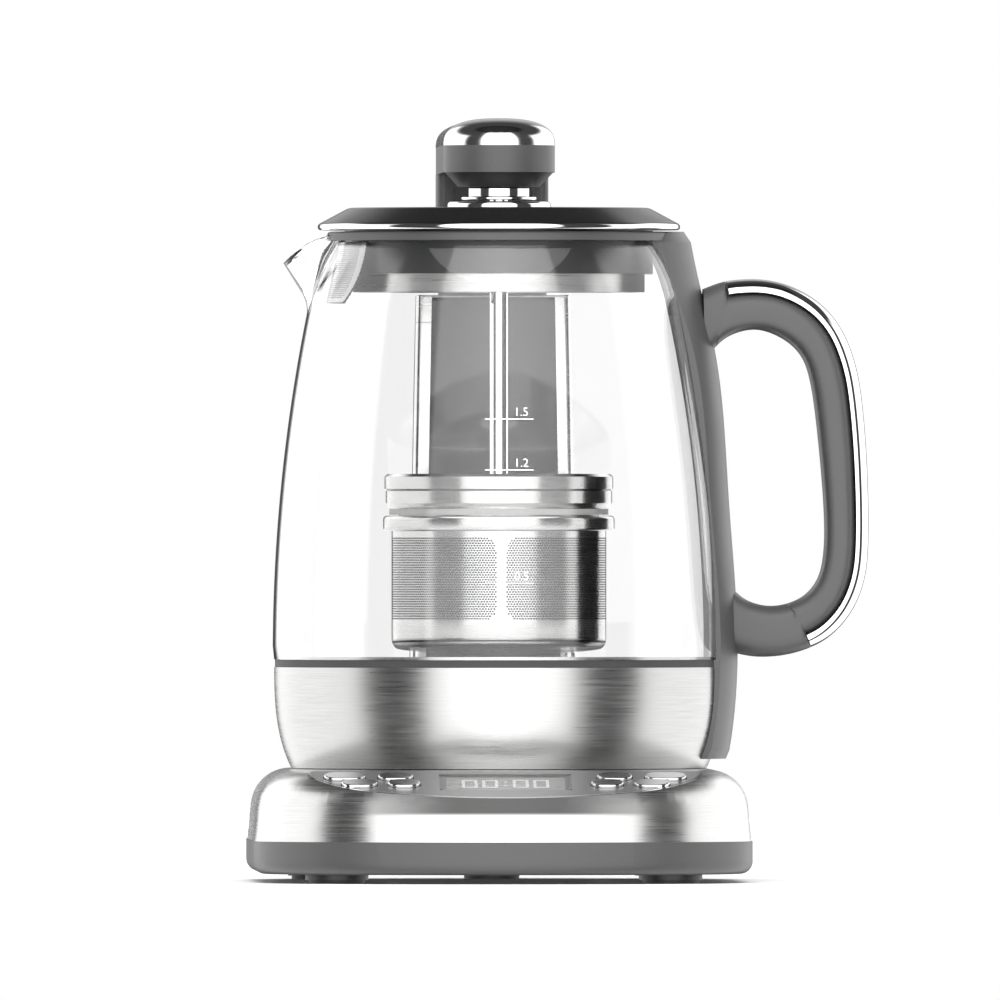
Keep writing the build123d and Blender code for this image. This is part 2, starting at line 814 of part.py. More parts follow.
def band_form(inset, low, high):
    """Turned-in steel band round the foot of the jug."""
    heights = {0: low, 1: high}
    points = [(jug_radius - inset - setback, heights.get(share, jug_low + share * jug_band_height))
              for share, setback in band_insets]
    foot, top = points[0], points[-1]
    edges = [Spline(*points), Line(top, (0, high)), Line((0, high), (0, low)), Line((0, low), foot)]
    return revolve(Plane.XZ * make_face(edges), axis=Axis.Z)


def jug_band():
    """Steel band of the jug."""
    band = band_form(0, jug_low, jug_band_top) - band_form(sheet, jug_low, jug_band_top)
    flange = post(jug_radius - 1, jug_band_top - sheet, jug_band_top) - post(jug_radius - 8, 0, rim_top)
    return band + (flange & band_form(0, jug_low, jug_band_top))


def glass_seal():
    """Rubber ring between the glass, the heating plate and the steel band."""
    return tube(jug_radius - 0.8, jug_radius - 7, jug_band_top, glass_low)


def heating_plate():
    """Steel floor of the jug."""
    plate = post(jug_radius - glass_wall - 0.5, glass_low, jug_floor)
    return plate - post(probe_radius + seat, 0, rim_top, probe_x, probe_y)


def heating_element():
    """Ring element under the floor, open by a few degrees."""
    height = glass_low - element_radius - seat
    section = Plane.XZ * Pos(element_ring, height) * Circle(element_radius)
    ring = revolve(section, axis=Axis.Z, revolution_arc=element_arc)
    for angle in (0, element_arc):
        place = Rot(0, 0, angle) * Pos(element_ring, 0, height - element_leg)
        ring += place * Cylinder(element_radius - 1, element_leg, align=STANDING)
    return Rot(0, 0, element_turn) * ring


def temperature_probe():
    """Probe that stands through the jug's floor."""
    body = post(probe_radius, glass_low - probe_length, jug_floor + probe_proud, probe_x, probe_y)
    return body + post(probe_radius + 2, glass_low - 5, glass_low - seat, probe_x, probe_y)


def jug_connector():
    """Socket of the jug, over the connector post."""
    low = jug_low + moulding
    return tube(plug_radius + 9, plug_radius + play, low, base_top + plug_height + 1) + post(
        plug_radius + 9, base_top + plug_height + 1, base_top + plug_height + 5)


def jug_bottom_cover():
    """Moulded floor of the jug's foot."""
    cover = band_form(sheet + seat, jug_low, jug_band_top) & post(jug_radius, jug_low, jug_low + 6)
    cover -= post(jug_radius - 11, jug_low + moulding, jug_low + 7)
    return cover - post(plug_radius + play, 0, jug_low + 7)


# ---- lid ----
def lid_cover():
    """Steel lid, a shallow cone with a flat top."""
    rim_high = lid_low + lid_trim
    outer = turned((0, rim_high), (lid_radius - 0.6, rim_high), (lid_flat, lid_top), (0, lid_top))
    inner = turned((0, rim_high - 1), (lid_radius - 2.2, rim_high - 1), (lid_radius - 2.2, rim_high),
                   (lid_flat - 0.5, lid_top - sheet), (0, lid_top - sheet))
    return outer - inner - post(hub_radius + seat, lid_low, lid_top + 1)


def lid_rim():
    """Chromed ring round the lid."""
    ring = tube(lid_radius, plug_skirt + seat, lid_low, lid_low + lid_trim)
    outer = ring.edges().filter_by(GeomType.CIRCLE).group_by(SortBy.LENGTH)[-1]
    return fillet(outer, 0.9)


def lid_plug():
    """Moulded plug under the lid."""
    low = lid_low - skirt_drop
    inner = plug_skirt - moulding
    plug = turned((hub_radius + seat, low), (plug_skirt, low), (plug_skirt, lid_low + lid_trim),
                  (inner, lid_low + lid_trim), (inner, low + moulding), (hub_radius + seat, low + moulding))
    groove = tube(plug_skirt + 1, plug_skirt - 0.8, rim_top - 0.5, rim_top + 1.1)
    return plug - groove


def lid_seal():
    """Soft ring between the plug and the collar."""
    return tube(collar_bore - seat, plug_skirt - 0.8 + seat, rim_top - 0.5 + seat, rim_top + 1.1 - seat)


def lid_lip():
    """Steel ring under the plug."""
    high = lid_low - skirt_drop
    low = high - lip_height
    ring = tube(lip_radius, lip_radius - 1.2, low, high) + tube(lip_radius, lip_radius - 8, high - 1.2, high)
    return ring


def lid_disc():
    """Chromed disc on the lid, with the rod's bush below it."""
    disc = post(disc_radius, lid_top, disc_top)
    disc = fillet(disc.faces().sort_by(Axis.Z)[-1].edges(), 0.8)
    disc += post(hub_radius, lid_low - skirt_drop, lid_top + seat)
    return disc - post(rod_radius + slip, 0, arm_top)


# ---- tea basket ----
def infuser_rod():
    """Polished rod of the basket."""
    return post(rod_radius, infuser_low + 4, dish_low + 0.2)


def rod_neck():
    """Turned neck that the head holds."""
    neck = post(neck_radius, neck_low, neck_top) + post(dish_radius, dish_low + 0.2, neck_low)
    edges = neck.edges().filter_by(GeomType.CIRCLE).group_by(Axis.Z)
    return chamfer([edges[-1][0]], 0.5)


def infuser_lid():
    """Lid of the tea basket, with the hub of its rod and three bayonet lugs."""
    groove = infuser_top - infuser_groove
    inner = basket_radius - 4.4
    body = turned(
        (0, infuser_low), (inner, infuser_low), (inner, skirt_low), (inner + 1.8, skirt_low),
        (inner + 1.8, infuser_low - basket_seal_height), (infuser_radius - 1.8, infuser_low),
        (infuser_radius - 0.4, infuser_low + 2), (infuser_radius - 0.4, groove - 0.4),
        (infuser_radius - 1.0, groove), (infuser_radius, groove + 0.4), (infuser_radius, infuser_top - 1),
        (infuser_radius - 1, infuser_top), (infuser_radius - 4, infuser_top),
        (infuser_radius - 7, infuser_low + 4), (8, infuser_low + 4), (7, infuser_top - 2), (0, infuser_top - 2))
    body -= tube(60, inner + 1.8, infuser_low - basket_seal_height - 1, infuser_low)
    body -= post(rod_radius + seat, infuser_low + 4, infuser_top + 1)
    for lug in range(lugs):
        turn = lug * 360 / lugs
        body += Rot(0, 0, turn) * arc_block(inner + 1, basket_radius - sheet - play, lug_width,
                                            lug_low, lug_low + lug_thick)
    return body


def arc_block(inner, outer, width, low, high):
    """Piece of a ring, width degrees wide, about +X."""
    half = math.radians(width / 2)
    reach = 2 * outer
    wedge = make_face(Polyline((0, 0), (reach * math.cos(half), -reach * math.sin(half)),
                               (reach * math.cos(half), reach * math.sin(half)), close=True))
    return tube(outer, inner, low, high) & (Pos(0, 0, low) * extrude(wedge, high - low))


def basket_seal():
    """Soft ring between the basket and its lid."""
    low = infuser_low - basket_seal_height
    return tube(basket_radius + 0.8, basket_radius - 2.6 + seat, low, infuser_low - seat)


def tea_basket():
    """Perforated steel basket with bayonet tabs inside its rim."""
    cup = post(basket_radius, basket_low, basket_top)
    cup = fillet(cup.faces().sort_by(Axis.Z)[0].edges(), basket_round)
    cup -= post(basket_radius - sheet, basket_low + sheet, basket_top + 1)
    rim = tube(rim_radius, basket_radius - sheet / 2, basket_top - rim_height, basket_top)
    rim = fillet(rim.edges().filter_by(GeomType.CIRCLE).group_by(SortBy.LENGTH)[-1], 0.8)
    cup += rim
    tab_low = lug_low + lug_thick + play
    for lug in range(lugs):
        tab = arc_block(basket_radius - 2.6 + play, basket_radius - sheet / 2, tab_width, tab_low, tab_low + 1.4)
        cup += Rot(0, 0, lug * 360 / lugs) * tab
    span = 360 / panels_round
    holes = []
    for panel in range(panels_round):
        for column in range(holes_across):
            turn = panel * span + 45 + (column - (holes_across - 1) / 2) * math.degrees(hole_pitch / basket_radius)
            for row in range(holes_up):
                height = basket_low + 8 + hole_pitch * (row + 0.5)
                pin = Pos(basket_radius, 0, height) * Rot(0, 90, 0) * Cylinder(hole_radius, 4 * sheet)
                holes.append(Rot(0, 0, turn) * pin)
    return cup - holes


# ---- handle ----
def plate_form(grow):
    """Bulged band down the handle side of the jug."""
    offsets = [(jug_radius + x - handle_bow + grow, jug_low + z) for x, z in plate_points]
    low = offsets[0][1]
    high = collar_top
    top = (offsets[-1][0] - 2.5, high)
    edges = [
        Spline(*offsets[1:]), Line(offsets[-1], top), Line(top, (0, high)),
        Line((0, high), (0, low)), Line((0, low), offsets[0]), Line(offsets[0], offsets[1])]
    turn = revolve(Plane.XZ * make_face(edges), axis=Axis.Z)
    return Pos(handle_bow, 0, 0) * turn


def handle_plate():
    """Moulded side plate that carries the handle."""
    window = block(2 * handle_bow, 2 * handle_half, jug_low, collar_top, x=2 * handle_bow)
    plate = plate_form(0) & window
    plate -= glass_profile(-seat)
    plate -= band_form(-seat, jug_low, jug_band_top)
    plate -= post(jug_radius - 0.8 + seat, jug_band_top, glass_low + 1)
    plate -= post(collar_radius + seat, rim_top - moulding - seat, collar_top + 1)
    return plate.solids().sort_by(SortBy.VOLUME)[-1]


def shrink(points, distance):
    """Points moved to the right of their own direction of travel."""
    moved = []
    for index, (x, z) in enumerate(points):
        before = points[max(index - 1, 0)]
        after = points[min(index + 1, len(points) - 1)]
        along = (after[0] - before[0], after[1] - before[1])
        length = math.hypot(*along)
        moved.append((x + along[1] / length * distance, z - along[0] / length * distance))
    return moved


def loop_face(outside, inside):
    """Face between two open curves of points, closed by straight ends."""
    outer = [(jug_radius + x, jug_low + z) for x, z in outside]
    inner = [(jug_radius + x, jug_low + z) for x, z in inside]
    return make_face([Spline(*outer), Line(outer[-1], inner[-1]), Spline(*inner), Line(inner[0], outer[0])])


def loop(face, width, rounding):
    """Face in the handle's plane made into a solid with round edges."""
    solid = Plane.XZ * extrude(face, width / 2, both=True)
    sides = solid.faces().filter_by(Axis.Y)
    return fillet(sides.edges(), rounding)


def handle_grip():
    """Moulded loop of the handle."""
    outside = shrink(grip_outside, strip_thick + seat)
    grip = loop(loop_face(outside, grip_inside), grip_width, grip_round)
    return grip - plate_form(seat)


def handle_trim():
    """Chromed strip round the outside of the loop."""
    trim = loop(loop_face(grip_outside, shrink(grip_outside, strip_thick)), strip_width, strip_round)
    return trim - plate_form(seat)


# ---- the parts ----
def all_nodes():
    """Every node of the tea maker by name."""
    nodes = {
        "base_tray": base_tray(),
        "base_cover": base_cover(),
        "foot_pads": foot_pads(),
        "base_screws": base_screws(),
        "dock_plate": dock_plate(),
        "base_connector": base_connector(),
        "power_board": power_board(),
        "cord_gland": cord_gland(),
        "control_panel": control_panel(),
        "display_window": display_window(),
        "control_board": control_board(),
        "column_shell": column_shell(),
        "column_front": column_front_plate(),
        "column_cap": column_cap(),
        "guide_rods": guide_rods(),
        "lift_bracket": lift_bracket(),
        "screw_bushes": screw_bushes(),
        "lift_motor": lift_motor(),
        "lead_screw": lead_screw(),
        "screw_gear": screw_gear(),
        "motor_pinion": motor_pinion(),
        "carriage": carriage(),
        "lift_nut": lift_nut(),
        "slider": slider(),
        "arm_body": arm_body(),
        "arm_cover": arm_cover(),
        "head_cone": head_cone(),
        "head_magnet": head_magnet(),
        "glass_body": glass_body(),
        "collar": collar(),
        "spout_strainer": spout_strainer(),
        "jug_band": jug_band(),
        "glass_seal": glass_seal(),
        "heating_plate": heating_plate(),
        "heating_element": heating_element(),
        "temperature_probe": temperature_probe(),
        "jug_connector": jug_connector(),
        "jug_bottom_cover": jug_bottom_cover(),
        "handle_plate": handle_plate(),
        "handle_grip": handle_grip(),
        "handle_trim": handle_trim(),
        "lid_cover": lid_cover(),
        "lid_rim": lid_rim(),
        "lid_plug": lid_plug(),
        "lid_seal": lid_seal(),
        "lid_lip": lid_lip(),
        "lid_disc": lid_disc(),
        "infuser_rod": infuser_rod(),
        "rod_neck": rod_neck(),
        "infuser_lid": infuser_lid(),
        "basket_seal": basket_seal(),
        "tea_basket": tea_basket(),
    }
    for number, place in enumerate(button_places(), start=1):
        nodes[f"button_{number}"] = button(*place)
    return nodes


def solids_of(piece):
    """Solids of a piece or of a group of pieces."""
    group = piece if isinstance(piece, list) else [piece]
    return [solid for member in group for solid in member.solids()]


def main():
    """Build every node, centre the outline on the origin and write the files."""
    os.makedirs("parts", exist_ok=True)
    solids = {name: solids_of(piece) for name, piece in all_nodes().items()}
    outline = Compound([solid for group in solids.values() for solid in group]).bounding_box()
    centre = outline.center()
    shift = Pos(-centre.X, -centre.Y, -outline.min.Z)
    for name, group in solids.items():
        moved = [shift * solid for solid in group]
        export_step(Compound(moved) if len(moved) > 1 else moved[0], f"parts/{name}.step")
    print("jug axis at", round(-centre.X, 3), round(-centre.Y, 3), "height", round(outline.size.Z, 2))


main()
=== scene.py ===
"""Looks of the automatic tea maker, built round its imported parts.

Sizes are in millimetres about the jug's axis, with the feet at height 0, and become metres when
a piece is made. The handle points to +X, the spout to -X and the control panel to -Y.
"""

import json
import logging
import math
from dataclasses import dataclass, field
from enum import Enum
from functools import partial
from typing import Callable

import bmesh
import bpy
from mathutils import Matrix, Vector

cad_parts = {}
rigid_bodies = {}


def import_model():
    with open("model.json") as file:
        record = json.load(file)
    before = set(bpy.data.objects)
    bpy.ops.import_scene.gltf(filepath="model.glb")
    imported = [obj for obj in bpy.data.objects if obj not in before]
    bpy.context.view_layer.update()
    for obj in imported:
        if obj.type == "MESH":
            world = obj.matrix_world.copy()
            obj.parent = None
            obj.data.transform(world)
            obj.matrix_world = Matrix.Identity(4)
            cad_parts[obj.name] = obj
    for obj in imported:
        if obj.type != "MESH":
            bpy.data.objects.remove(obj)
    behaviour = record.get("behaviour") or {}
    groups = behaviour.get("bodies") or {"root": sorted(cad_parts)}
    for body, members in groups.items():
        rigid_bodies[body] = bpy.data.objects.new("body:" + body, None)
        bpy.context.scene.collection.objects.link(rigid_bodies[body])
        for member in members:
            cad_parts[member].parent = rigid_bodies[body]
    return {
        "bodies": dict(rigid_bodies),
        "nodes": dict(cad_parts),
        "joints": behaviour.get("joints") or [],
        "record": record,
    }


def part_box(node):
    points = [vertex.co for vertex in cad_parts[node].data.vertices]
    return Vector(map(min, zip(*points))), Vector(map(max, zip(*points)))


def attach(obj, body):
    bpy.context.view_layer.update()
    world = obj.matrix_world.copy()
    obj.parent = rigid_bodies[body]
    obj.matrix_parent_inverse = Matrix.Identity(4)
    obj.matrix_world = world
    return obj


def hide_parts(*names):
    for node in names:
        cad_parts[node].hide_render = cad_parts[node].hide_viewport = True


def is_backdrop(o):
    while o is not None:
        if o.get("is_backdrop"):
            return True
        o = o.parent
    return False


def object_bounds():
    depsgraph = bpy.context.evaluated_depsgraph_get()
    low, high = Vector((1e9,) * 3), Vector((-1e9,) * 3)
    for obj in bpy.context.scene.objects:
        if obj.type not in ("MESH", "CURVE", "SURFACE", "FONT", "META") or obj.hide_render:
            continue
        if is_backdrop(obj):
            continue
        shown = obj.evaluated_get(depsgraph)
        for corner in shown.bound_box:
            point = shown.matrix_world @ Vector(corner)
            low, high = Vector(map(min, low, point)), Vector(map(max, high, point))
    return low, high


LOG = logging.getLogger("tea_maker")
MM = 0.001
JOIN = 0.002  # corners nearer than this become one
Point = tuple[float, float]
Corner = tuple[float, float, float]
Colour = tuple[float, float, float]
Surface = Callable[[float, float], Corner]
Fade = tuple[float, float, float, float]


# ---- forms


@dataclass
class Form:
    """Corners and faces of a piece, in millimetres."""

    corners: list[Corner] = field(default_factory=list)
    faces: list[tuple[int, ...]] = field(default_factory=list)

    def add(self, other: "Form") -> "Form":
        """Takes in another form and returns this one."""
        start = len(self.corners)
        self.corners += other.corners
        self.faces += [tuple(start + i for i in face) for face in other.faces]
        return self

    def close(self, ring: list[Corner]) -> "Form":
        """Adds a face over a ring of points, with corners of its own, and returns this form."""
        start = len(self.corners)
        self.corners += ring
        self.faces.append(tuple(range(start, len(self.corners))))
        return self


def rounded(points: list[Point], radii: dict[int, float], steps: int = 6) -> list[Point]:
    """Rounds some corners of a closed outline.

    Args:
        points: Corners of the outline in order.
        radii: Radius for each corner that is rounded, by its number.
        steps: Edges in each round corner.

    Returns:
        The outline with arcs in place of those corners.
    """
    made: list[Point] = []
    for index, (x, y) in enumerate(points):
        radius = radii.get(index, 0.0)
        if not radius:
            made.append((x, y))
            continue
        here = Vector((x, y))
        before = (Vector(points[index - 1]) - here).normalized()
        after = (Vector(points[(index + 1) % len(points)]) - here).normalized()
        half = before.angle(after) / 2
        centre = here + (before + after).normalized() * (radius / math.sin(half))
        start = here + before * (radius / math.tan(half)) - centre
        end = here + after * (radius / math.tan(half)) - centre
        first = math.atan2(start.y, start.x)
        sweep = (math.atan2(end.y, end.x) - first + math.pi) % (2 * math.pi) - math.pi
        for step in range(steps + 1):
            turn = first + sweep * step / steps
            made.append((centre.x + radius * math.cos(turn), centre.y + radius * math.sin(turn)))
    return made


def turned(profile: list[Point], sides: int, ring: bool = True) -> Form:
    """Turns a half section about the jug's axis.

    Args:
        profile: Radius and height of each corner.
        sides: Faces round the axis.
        ring: True where the last corner joins the first.

    Returns:
        The turned form.
    """
    form = Form()
    rows: list[list[int]] = []
    for radius, height in profile:
        start = len(form.corners)
        if radius < JOIN:
            form.corners.append((0.0, 0.0, height))
            rows.append([start] * sides)
            continue
        for side in range(sides):
            turn = 2 * math.pi * side / sides
            form.corners.append((radius * math.cos(turn), radius * math.sin(turn), height))
        rows.append(list(range(start, start + sides)))
    for lower, upper in zip(rows, rows[1:] + rows[:1] if ring else rows[1:]):
        for side in range(sides):
            after = (side + 1) % sides
            face = dict.fromkeys((lower[side], lower[after], upper[after], upper[side]))
            if len(face) > 2:
                form.faces.append(tuple(face))
    return form


def grid(rows: list[list[Corner]]) -> Form:
    """Joins rows of points, each as long as the others, into faces."""
    count = len(rows[0])
    form = Form([corner for row in rows for corner in row])
    for row in range(len(rows) - 1):
        for step in range(count - 1):
            start = row * count + step
            form.faces.append((start, start + 1, start + count + 1, start + count))
    return form


def capped(rings: list[list[Corner]]) -> Form:
    """Joins rings of points, each ending where it starts, into a bar with flat ends."""
    return grid(rings).close(rings[0][:-1]).close(rings[-1][:-1])


def sheet_with_holes(columns: int, rows: int, outer: Surface, inner: Surface,
                     is_open: Callable[[int, int], bool], closed: bool, share: float) -> Form:
    """Makes a sheet of metal with staggered six-sided holes.

    Args:
        columns: Holes across the sheet.
        rows: Holes up the sheet.
        outer: Point of the outer face for a column and a row, which may be fractions.
        inner: Point of the inner face.
        is_open: Whether a column and a row has a hole.
        closed: True where the last column meets the first.
        share: Radius of a hole as a share of the distance between holes.

    Returns:
        The sheet, with open edges.
    """
    hole = ((-0.87, -0.5), (0, -1), (0.87, -0.5), (0.87, 0.5), (0, 1), (-0.87, 0.5))
    across = 2 * columns if closed else 2 * columns + 2
    form = Form([place(half / 2, row) for place in (outer, inner)
                 for row in range(rows + 1) for half in range(across)])
    behind = len(form.corners) // 2
    for row in range(rows):
        for column in range(columns):
            start = 2 * column + row % 2
            halves = [(start + k) % across for k in range(3)]
            rim = [row * across + half for half in halves]
            rim += [(row + 1) * across + half for half in reversed(halves)]
            back = [behind + corner for corner in rim]
            if not is_open(column, row):
                form.faces += [tuple(rim), tuple(reversed(back))]
                continue
            bore = len(form.corners)
            form.corners += [place(start / 2 + 0.5 + x * share, row + 0.5 + y * share)
                             for place in (outer, inner) for x, y in hole]
            for k in range(6):
                m = (k + 1) % 6
                form.faces += [(rim[k], rim[m], bore + m, bore + k),
                               (back[m], back[k], bore + 6 + k, bore + 6 + m),
                               (bore + k, bore + m, bore + 6 + m, bore + 6 + k)]
    return form


def placed(name: str, data: bpy.types.ID) -> bpy.types.Object:
    """Puts data into the scene as an object and returns it."""
    made = bpy.data.objects.new(name, data)
    bpy.context.scene.collection.objects.link(made)
    return made


# ---- finishes


class Grain(Enum):
    """How the fine texture of a surface runs: its scale along x, y and z."""

    EVEN = (1.0, 1.0, 1.0)
    LEVEL = (0.02, 0.02, 1.0)


class Graph:
    """A node tree with short calls for adding and joining nodes."""

    def __init__(self, tree: bpy.types.NodeTree) -> None:
        """Empties the tree.

        Args:
            tree: Tree of a material or a world.
        """
        self.tree = tree
        tree.nodes.clear()

    def add(self, kind: str, **settings: object) -> bpy.types.Node:
        """Adds a node.

        Args:
            kind: Blender's name of the node, without ShaderNode.
            settings: Properties of the node.

        Returns:
            The node.
        """
        node = self.tree.nodes.new("ShaderNode" + kind)
        for name, value in settings.items():
            setattr(node, name, value)
        return node

    def join(self, source: bpy.types.NodeSocket, target: bpy.types.NodeSocket) -> None:
        """Links two sockets."""
        self.tree.links.new(source, target)

    def math(self, operation: str, *terms: object) -> bpy.types.NodeSocket:
        """Adds a Math node.

        Args:
            operation: Blender's name of the operation.
            terms: Numbers or sockets, one for each input.

        Returns:
            The result's socket.
        """
        node = self.add("Math", operation=operation)
        for index, term in enumerate(terms):
            if isinstance(term, (int, float)):
                node.inputs[index].default_value = term
            else:
                self.join(term, node.inputs[index])
        return node.outputs[0]

    def product(self, result: bpy.types.NodeSocket, *factors: object) -> bpy.types.NodeSocket:
        """Multiplies a socket by numbers or sockets and returns the result's socket."""
        for factor in factors:
            result = self.math("MULTIPLY", result, factor)
        return result

    def smooth(self, value: bpy.types.NodeSocket, low: float, high: float,
               start: float = 0.0, end: float = 1.0) -> bpy.types.NodeSocket:
        """Adds a smooth step from start to end as value goes from low to high.

        Args:
            value: Socket of the value.
            low: Value where the step begins.
            high: Value where the step ends.
            start: Result below low.
            end: Result above high.

        Returns:
            The result's socket.
        """
        node = self.add("MapRange", interpolation_type="SMOOTHSTEP")
        self.join(value, node.inputs["Value"])
        limits = {"From Min": low, "From Max": high, "To Min": start, "To Max": end}
        for name, number in limits.items():
            node.inputs[name].default_value = number
        return node.outputs[0]

    def noise(self, place: bpy.types.NodeSocket, size: float,
              octaves: float) -> bpy.types.NodeSocket:
        """Adds a noise texture.

        Args:
            place: Coordinates.
            size: Size of its blobs in metres.
            octaves: Depth of its detail.

        Returns:
            The noise's socket.
        """
        node = self.add("TexNoise")
        node.inputs["Scale"].default_value = 1 / size
        node.inputs["Detail"].default_value = octaves
        self.join(place, node.inputs["Vector"])
        return node.outputs["Fac"]


@dataclass(frozen=True)
class AnyFinish:
    """Finish of a surface, with one material."""

    name: str
    colour: Colour

    def material(self) -> bpy.types.Material:
        """Returns the finish as a material, made on its first use."""
        material = bpy.data.materials.get(self.name + "_finish")
        if not material:
            material = bpy.data.materials.new(self.name + "_finish")
            material.use_nodes = True
            graph = Graph(material.node_tree)
            shader = graph.add("BsdfPrincipled")
            graph.join(shader.outputs[0], graph.add("OutputMaterial").inputs[0])
            self.paint(graph, shader)
        return material

    def paint(self, graph: Graph, shader: bpy.types.Node) -> None:
        """Sets up the material.

        Args:
            graph: Tree of the material.
            shader: Its shader.
        """
        raise NotImplementedError


@dataclass(frozen=True)
class Finish(AnyFinish):
    """Colour, gloss and fine texture of a surface.

    The grain's size is in metres, and its relief is the height of its bumps in metres. The
    horizon paints a dark reflection into the colour; its fades are over the height and over the
    parts of the surface's normal.
    """

    roughness: float
    metallic: float
    grain: Grain
    grain_size: float
    relief: float
    gloss_spread: float
    shade_spread: float
    patch_size: float
    coat: float = 0.0
    anisotropy: float = 0.0
    brush_turn: float = 0.25
    least_roughness: float = 0.02
    grain_octaves: float = 3.0
    patch_octaves: float = 4.0
    blend: Point = (0.3, 0.7)
    painted_reflection: float = 0.0
    horizon_height: Fade = (23.6 * MM, 25.4 * MM, 0.0, 1.0)
    horizon_lean: Fade = (0.8, 0.95, 1.0, 0.0)
    horizon_aside: Fade = (0.1, 0.5, 1.0, 0.0)
    horizon_ahead: Fade = (-0.3, 0.0, 1.0, 0.0)

    def paint_reflection(self, graph: Graph, colour: bpy.types.NodeSocket) -> bpy.types.NodeSocket:
        """Paints a dark reflection where the surface leans back, as from a studio's dark upper
        wall.

        Args:
            graph: Tree of the material.
            colour: Colour before it.

        Returns:
            The darkened colour.
        """
        normal, place = graph.add("SeparateXYZ"), graph.add("SeparateXYZ")
        graph.join(graph.add("NewGeometry").outputs["Normal"], normal.inputs[0])
        graph.join(graph.add("TexCoord").outputs["Object"], place.inputs[0])
        aside, ahead, up = normal.outputs
        share = graph.product(graph.smooth(place.outputs[2], *self.horizon_height),
                              graph.smooth(up, *self.horizon_lean),
                              graph.smooth(graph.math("ABSOLUTE", aside), *self.horizon_aside),
                              graph.smooth(ahead, *self.horizon_ahead))
        mix = graph.add("Mix", data_type="RGBA")
        mix.inputs[7].default_value = self.shade(1 - self.painted_reflection)
        graph.join(share, mix.inputs[0])
        graph.join(colour, mix.inputs[6])
        return mix.outputs[2]

    def shade(self, share: float) -> tuple[float, ...]:
        """Returns the colour with a share of its brightness, and with its opacity."""
        return (*[min(1.0, c * share) for c in self.colour], 1)

    def paint(self, graph: Graph, shader: bpy.types.Node) -> None:
        """Sets up a surface whose shade and gloss vary with its grain and in patches.

        Args:
            graph: Tree of the material.
            shader: Its shader.
        """
        settings = {"Metallic": self.metallic, "Coat Weight": self.coat,
                    "Anisotropic": self.anisotropy, "Anisotropic Rotation": self.brush_turn}
        for name, number in settings.items():
            shader.inputs[name].default_value = number
        place = graph.add("TexCoord").outputs["Object"]
        stretch = graph.add("Mapping")
        stretch.inputs["Scale"].default_value = self.grain.value
        graph.join(place, stretch.inputs["Vector"])
        grain = graph.noise(stretch.outputs[0], self.grain_size, self.grain_octaves)
        patches = graph.noise(place, self.patch_size, self.patch_octaves)
        both = graph.math("MULTIPLY_ADD", grain, 0.5, graph.product(patches, 0.5))
        mix = graph.add("Mix", data_type="RGBA")
        mix.inputs[6].default_value = self.shade(1 - self.shade_spread)
        mix.inputs[7].default_value = self.shade(1 + self.shade_spread)
        graph.join(graph.smooth(both, *self.blend), mix.inputs[0])
        # The horizon setting mixes a painted dark reflection into the colour here.
        shade = self.paint_reflection(graph, mix.outputs[2]) if self.painted_reflection else mix.outputs[2]
        graph.join(shade, shader.inputs["Base Color"])
        smoothest = max(self.least_roughness, self.roughness - self.gloss_spread)
        gloss = graph.smooth(both, *self.blend, smoothest, self.roughness + self.gloss_spread)
        graph.join(gloss, shader.inputs["Roughness"])
        bump = graph.add("Bump")
        bump.inputs["Distance"].default_value = self.relief
        graph.join(grain, bump.inputs["Height"])
        graph.join(bump.outputs[0], shader.inputs["Normal"])


@dataclass(frozen=True)
class ClearFinish(AnyFinish):
    """Clear glass or plastic with faint wiping marks in its gloss."""

    ior: float
    wipe_size: float = 1 / 60
    wipe_octaves: float = 3.0
    wipe_gloss: Fade = (0.55, 0.8, 0.0, 0.004)

    def paint(self, graph: Graph, shader: bpy.types.Node) -> None:
        """Sets up a clear material.

        Args:
            graph: Tree of the material.
            shader: Its shader.
        """
        shader.inputs["Base Color"].default_value = (*self.colour, 1)
        shader.inputs["Transmission Weight"].default_value = 1.0
        shader.inputs["IOR"].default_value = self.ior
        place = graph.add("TexCoord").outputs["Object"]
        wipes = graph.noise(place, self.wipe_size, self.wipe_octaves)
        graph.join(graph.smooth(wipes, *self.wipe_gloss), shader.inputs["Roughness"])


# Name, colour, roughness, metallic, grain with its size and relief, spread of the gloss and of
# the shade, size of the patches.
STEEL = Finish("brushed_steel", (0.48, 0.48, 0.476), 0.31, 1, Grain.LEVEL, 4e-4, 1e-6,
               0.07, 0.12, 0.09, anisotropy=0.4)
# The cover's horizon setting paints a dark reflection band into its colour.
COVER_STEEL = Finish("cover_steel", (0.58, 0.58, 0.575), 0.29, 1, Grain.LEVEL, 4e-4, 2e-6,
                     0.06, 0.1, 0.09, anisotropy=0.3, painted_reflection=0.88)
SHELL_STEEL = Finish("column_steel", (0.62, 0.62, 0.615), 0.24, 1, Grain.LEVEL, 5e-4, 4e-6,
                     0.06, 0.06, 0.05, anisotropy=0.3)
BASKET_STEEL = Finish("basket_steel", (0.5, 0.5, 0.495), 0.2, 1, Grain.LEVEL, 4e-4, 3e-6,
                      0.05, 0.05, 0.03, anisotropy=0.3)
# Near-black steel for the inside faces of the perforated sheets: painted shade, as the inside is
# the same steel.
PAINTED_SHADE_STEEL = Finish("unlit_steel", (0.05, 0.05, 0.052), 0.4, 1, Grain.LEVEL, 4e-4, 3e-6,
                    0.05, 0.08, 0.03)
STRAINER_STEEL = Finish("strainer_steel", (0.3, 0.3, 0.3), 0.25, 1, Grain.LEVEL, 4e-4, 3e-6,
                        0.05, 0.05, 0.03)
LID_STEEL = Finish("lid_steel", (0.26, 0.26, 0.26), 0.2, 1, Grain.EVEN, 6e-4, 2e-6,
                   0.05, 0.05, 0.04)
MACHINED = Finish("machined_steel", (0.5, 0.5, 0.5), 0.3, 1, Grain.LEVEL, 3e-4, 4e-6,
                  0.06, 0.08, 0.01)
MAGNET = Finish("magnet", (0.3, 0.3, 0.31), 0.32, 1, Grain.EVEN, 6e-4, 6e-6, 0.06, 0.1, 0.01)
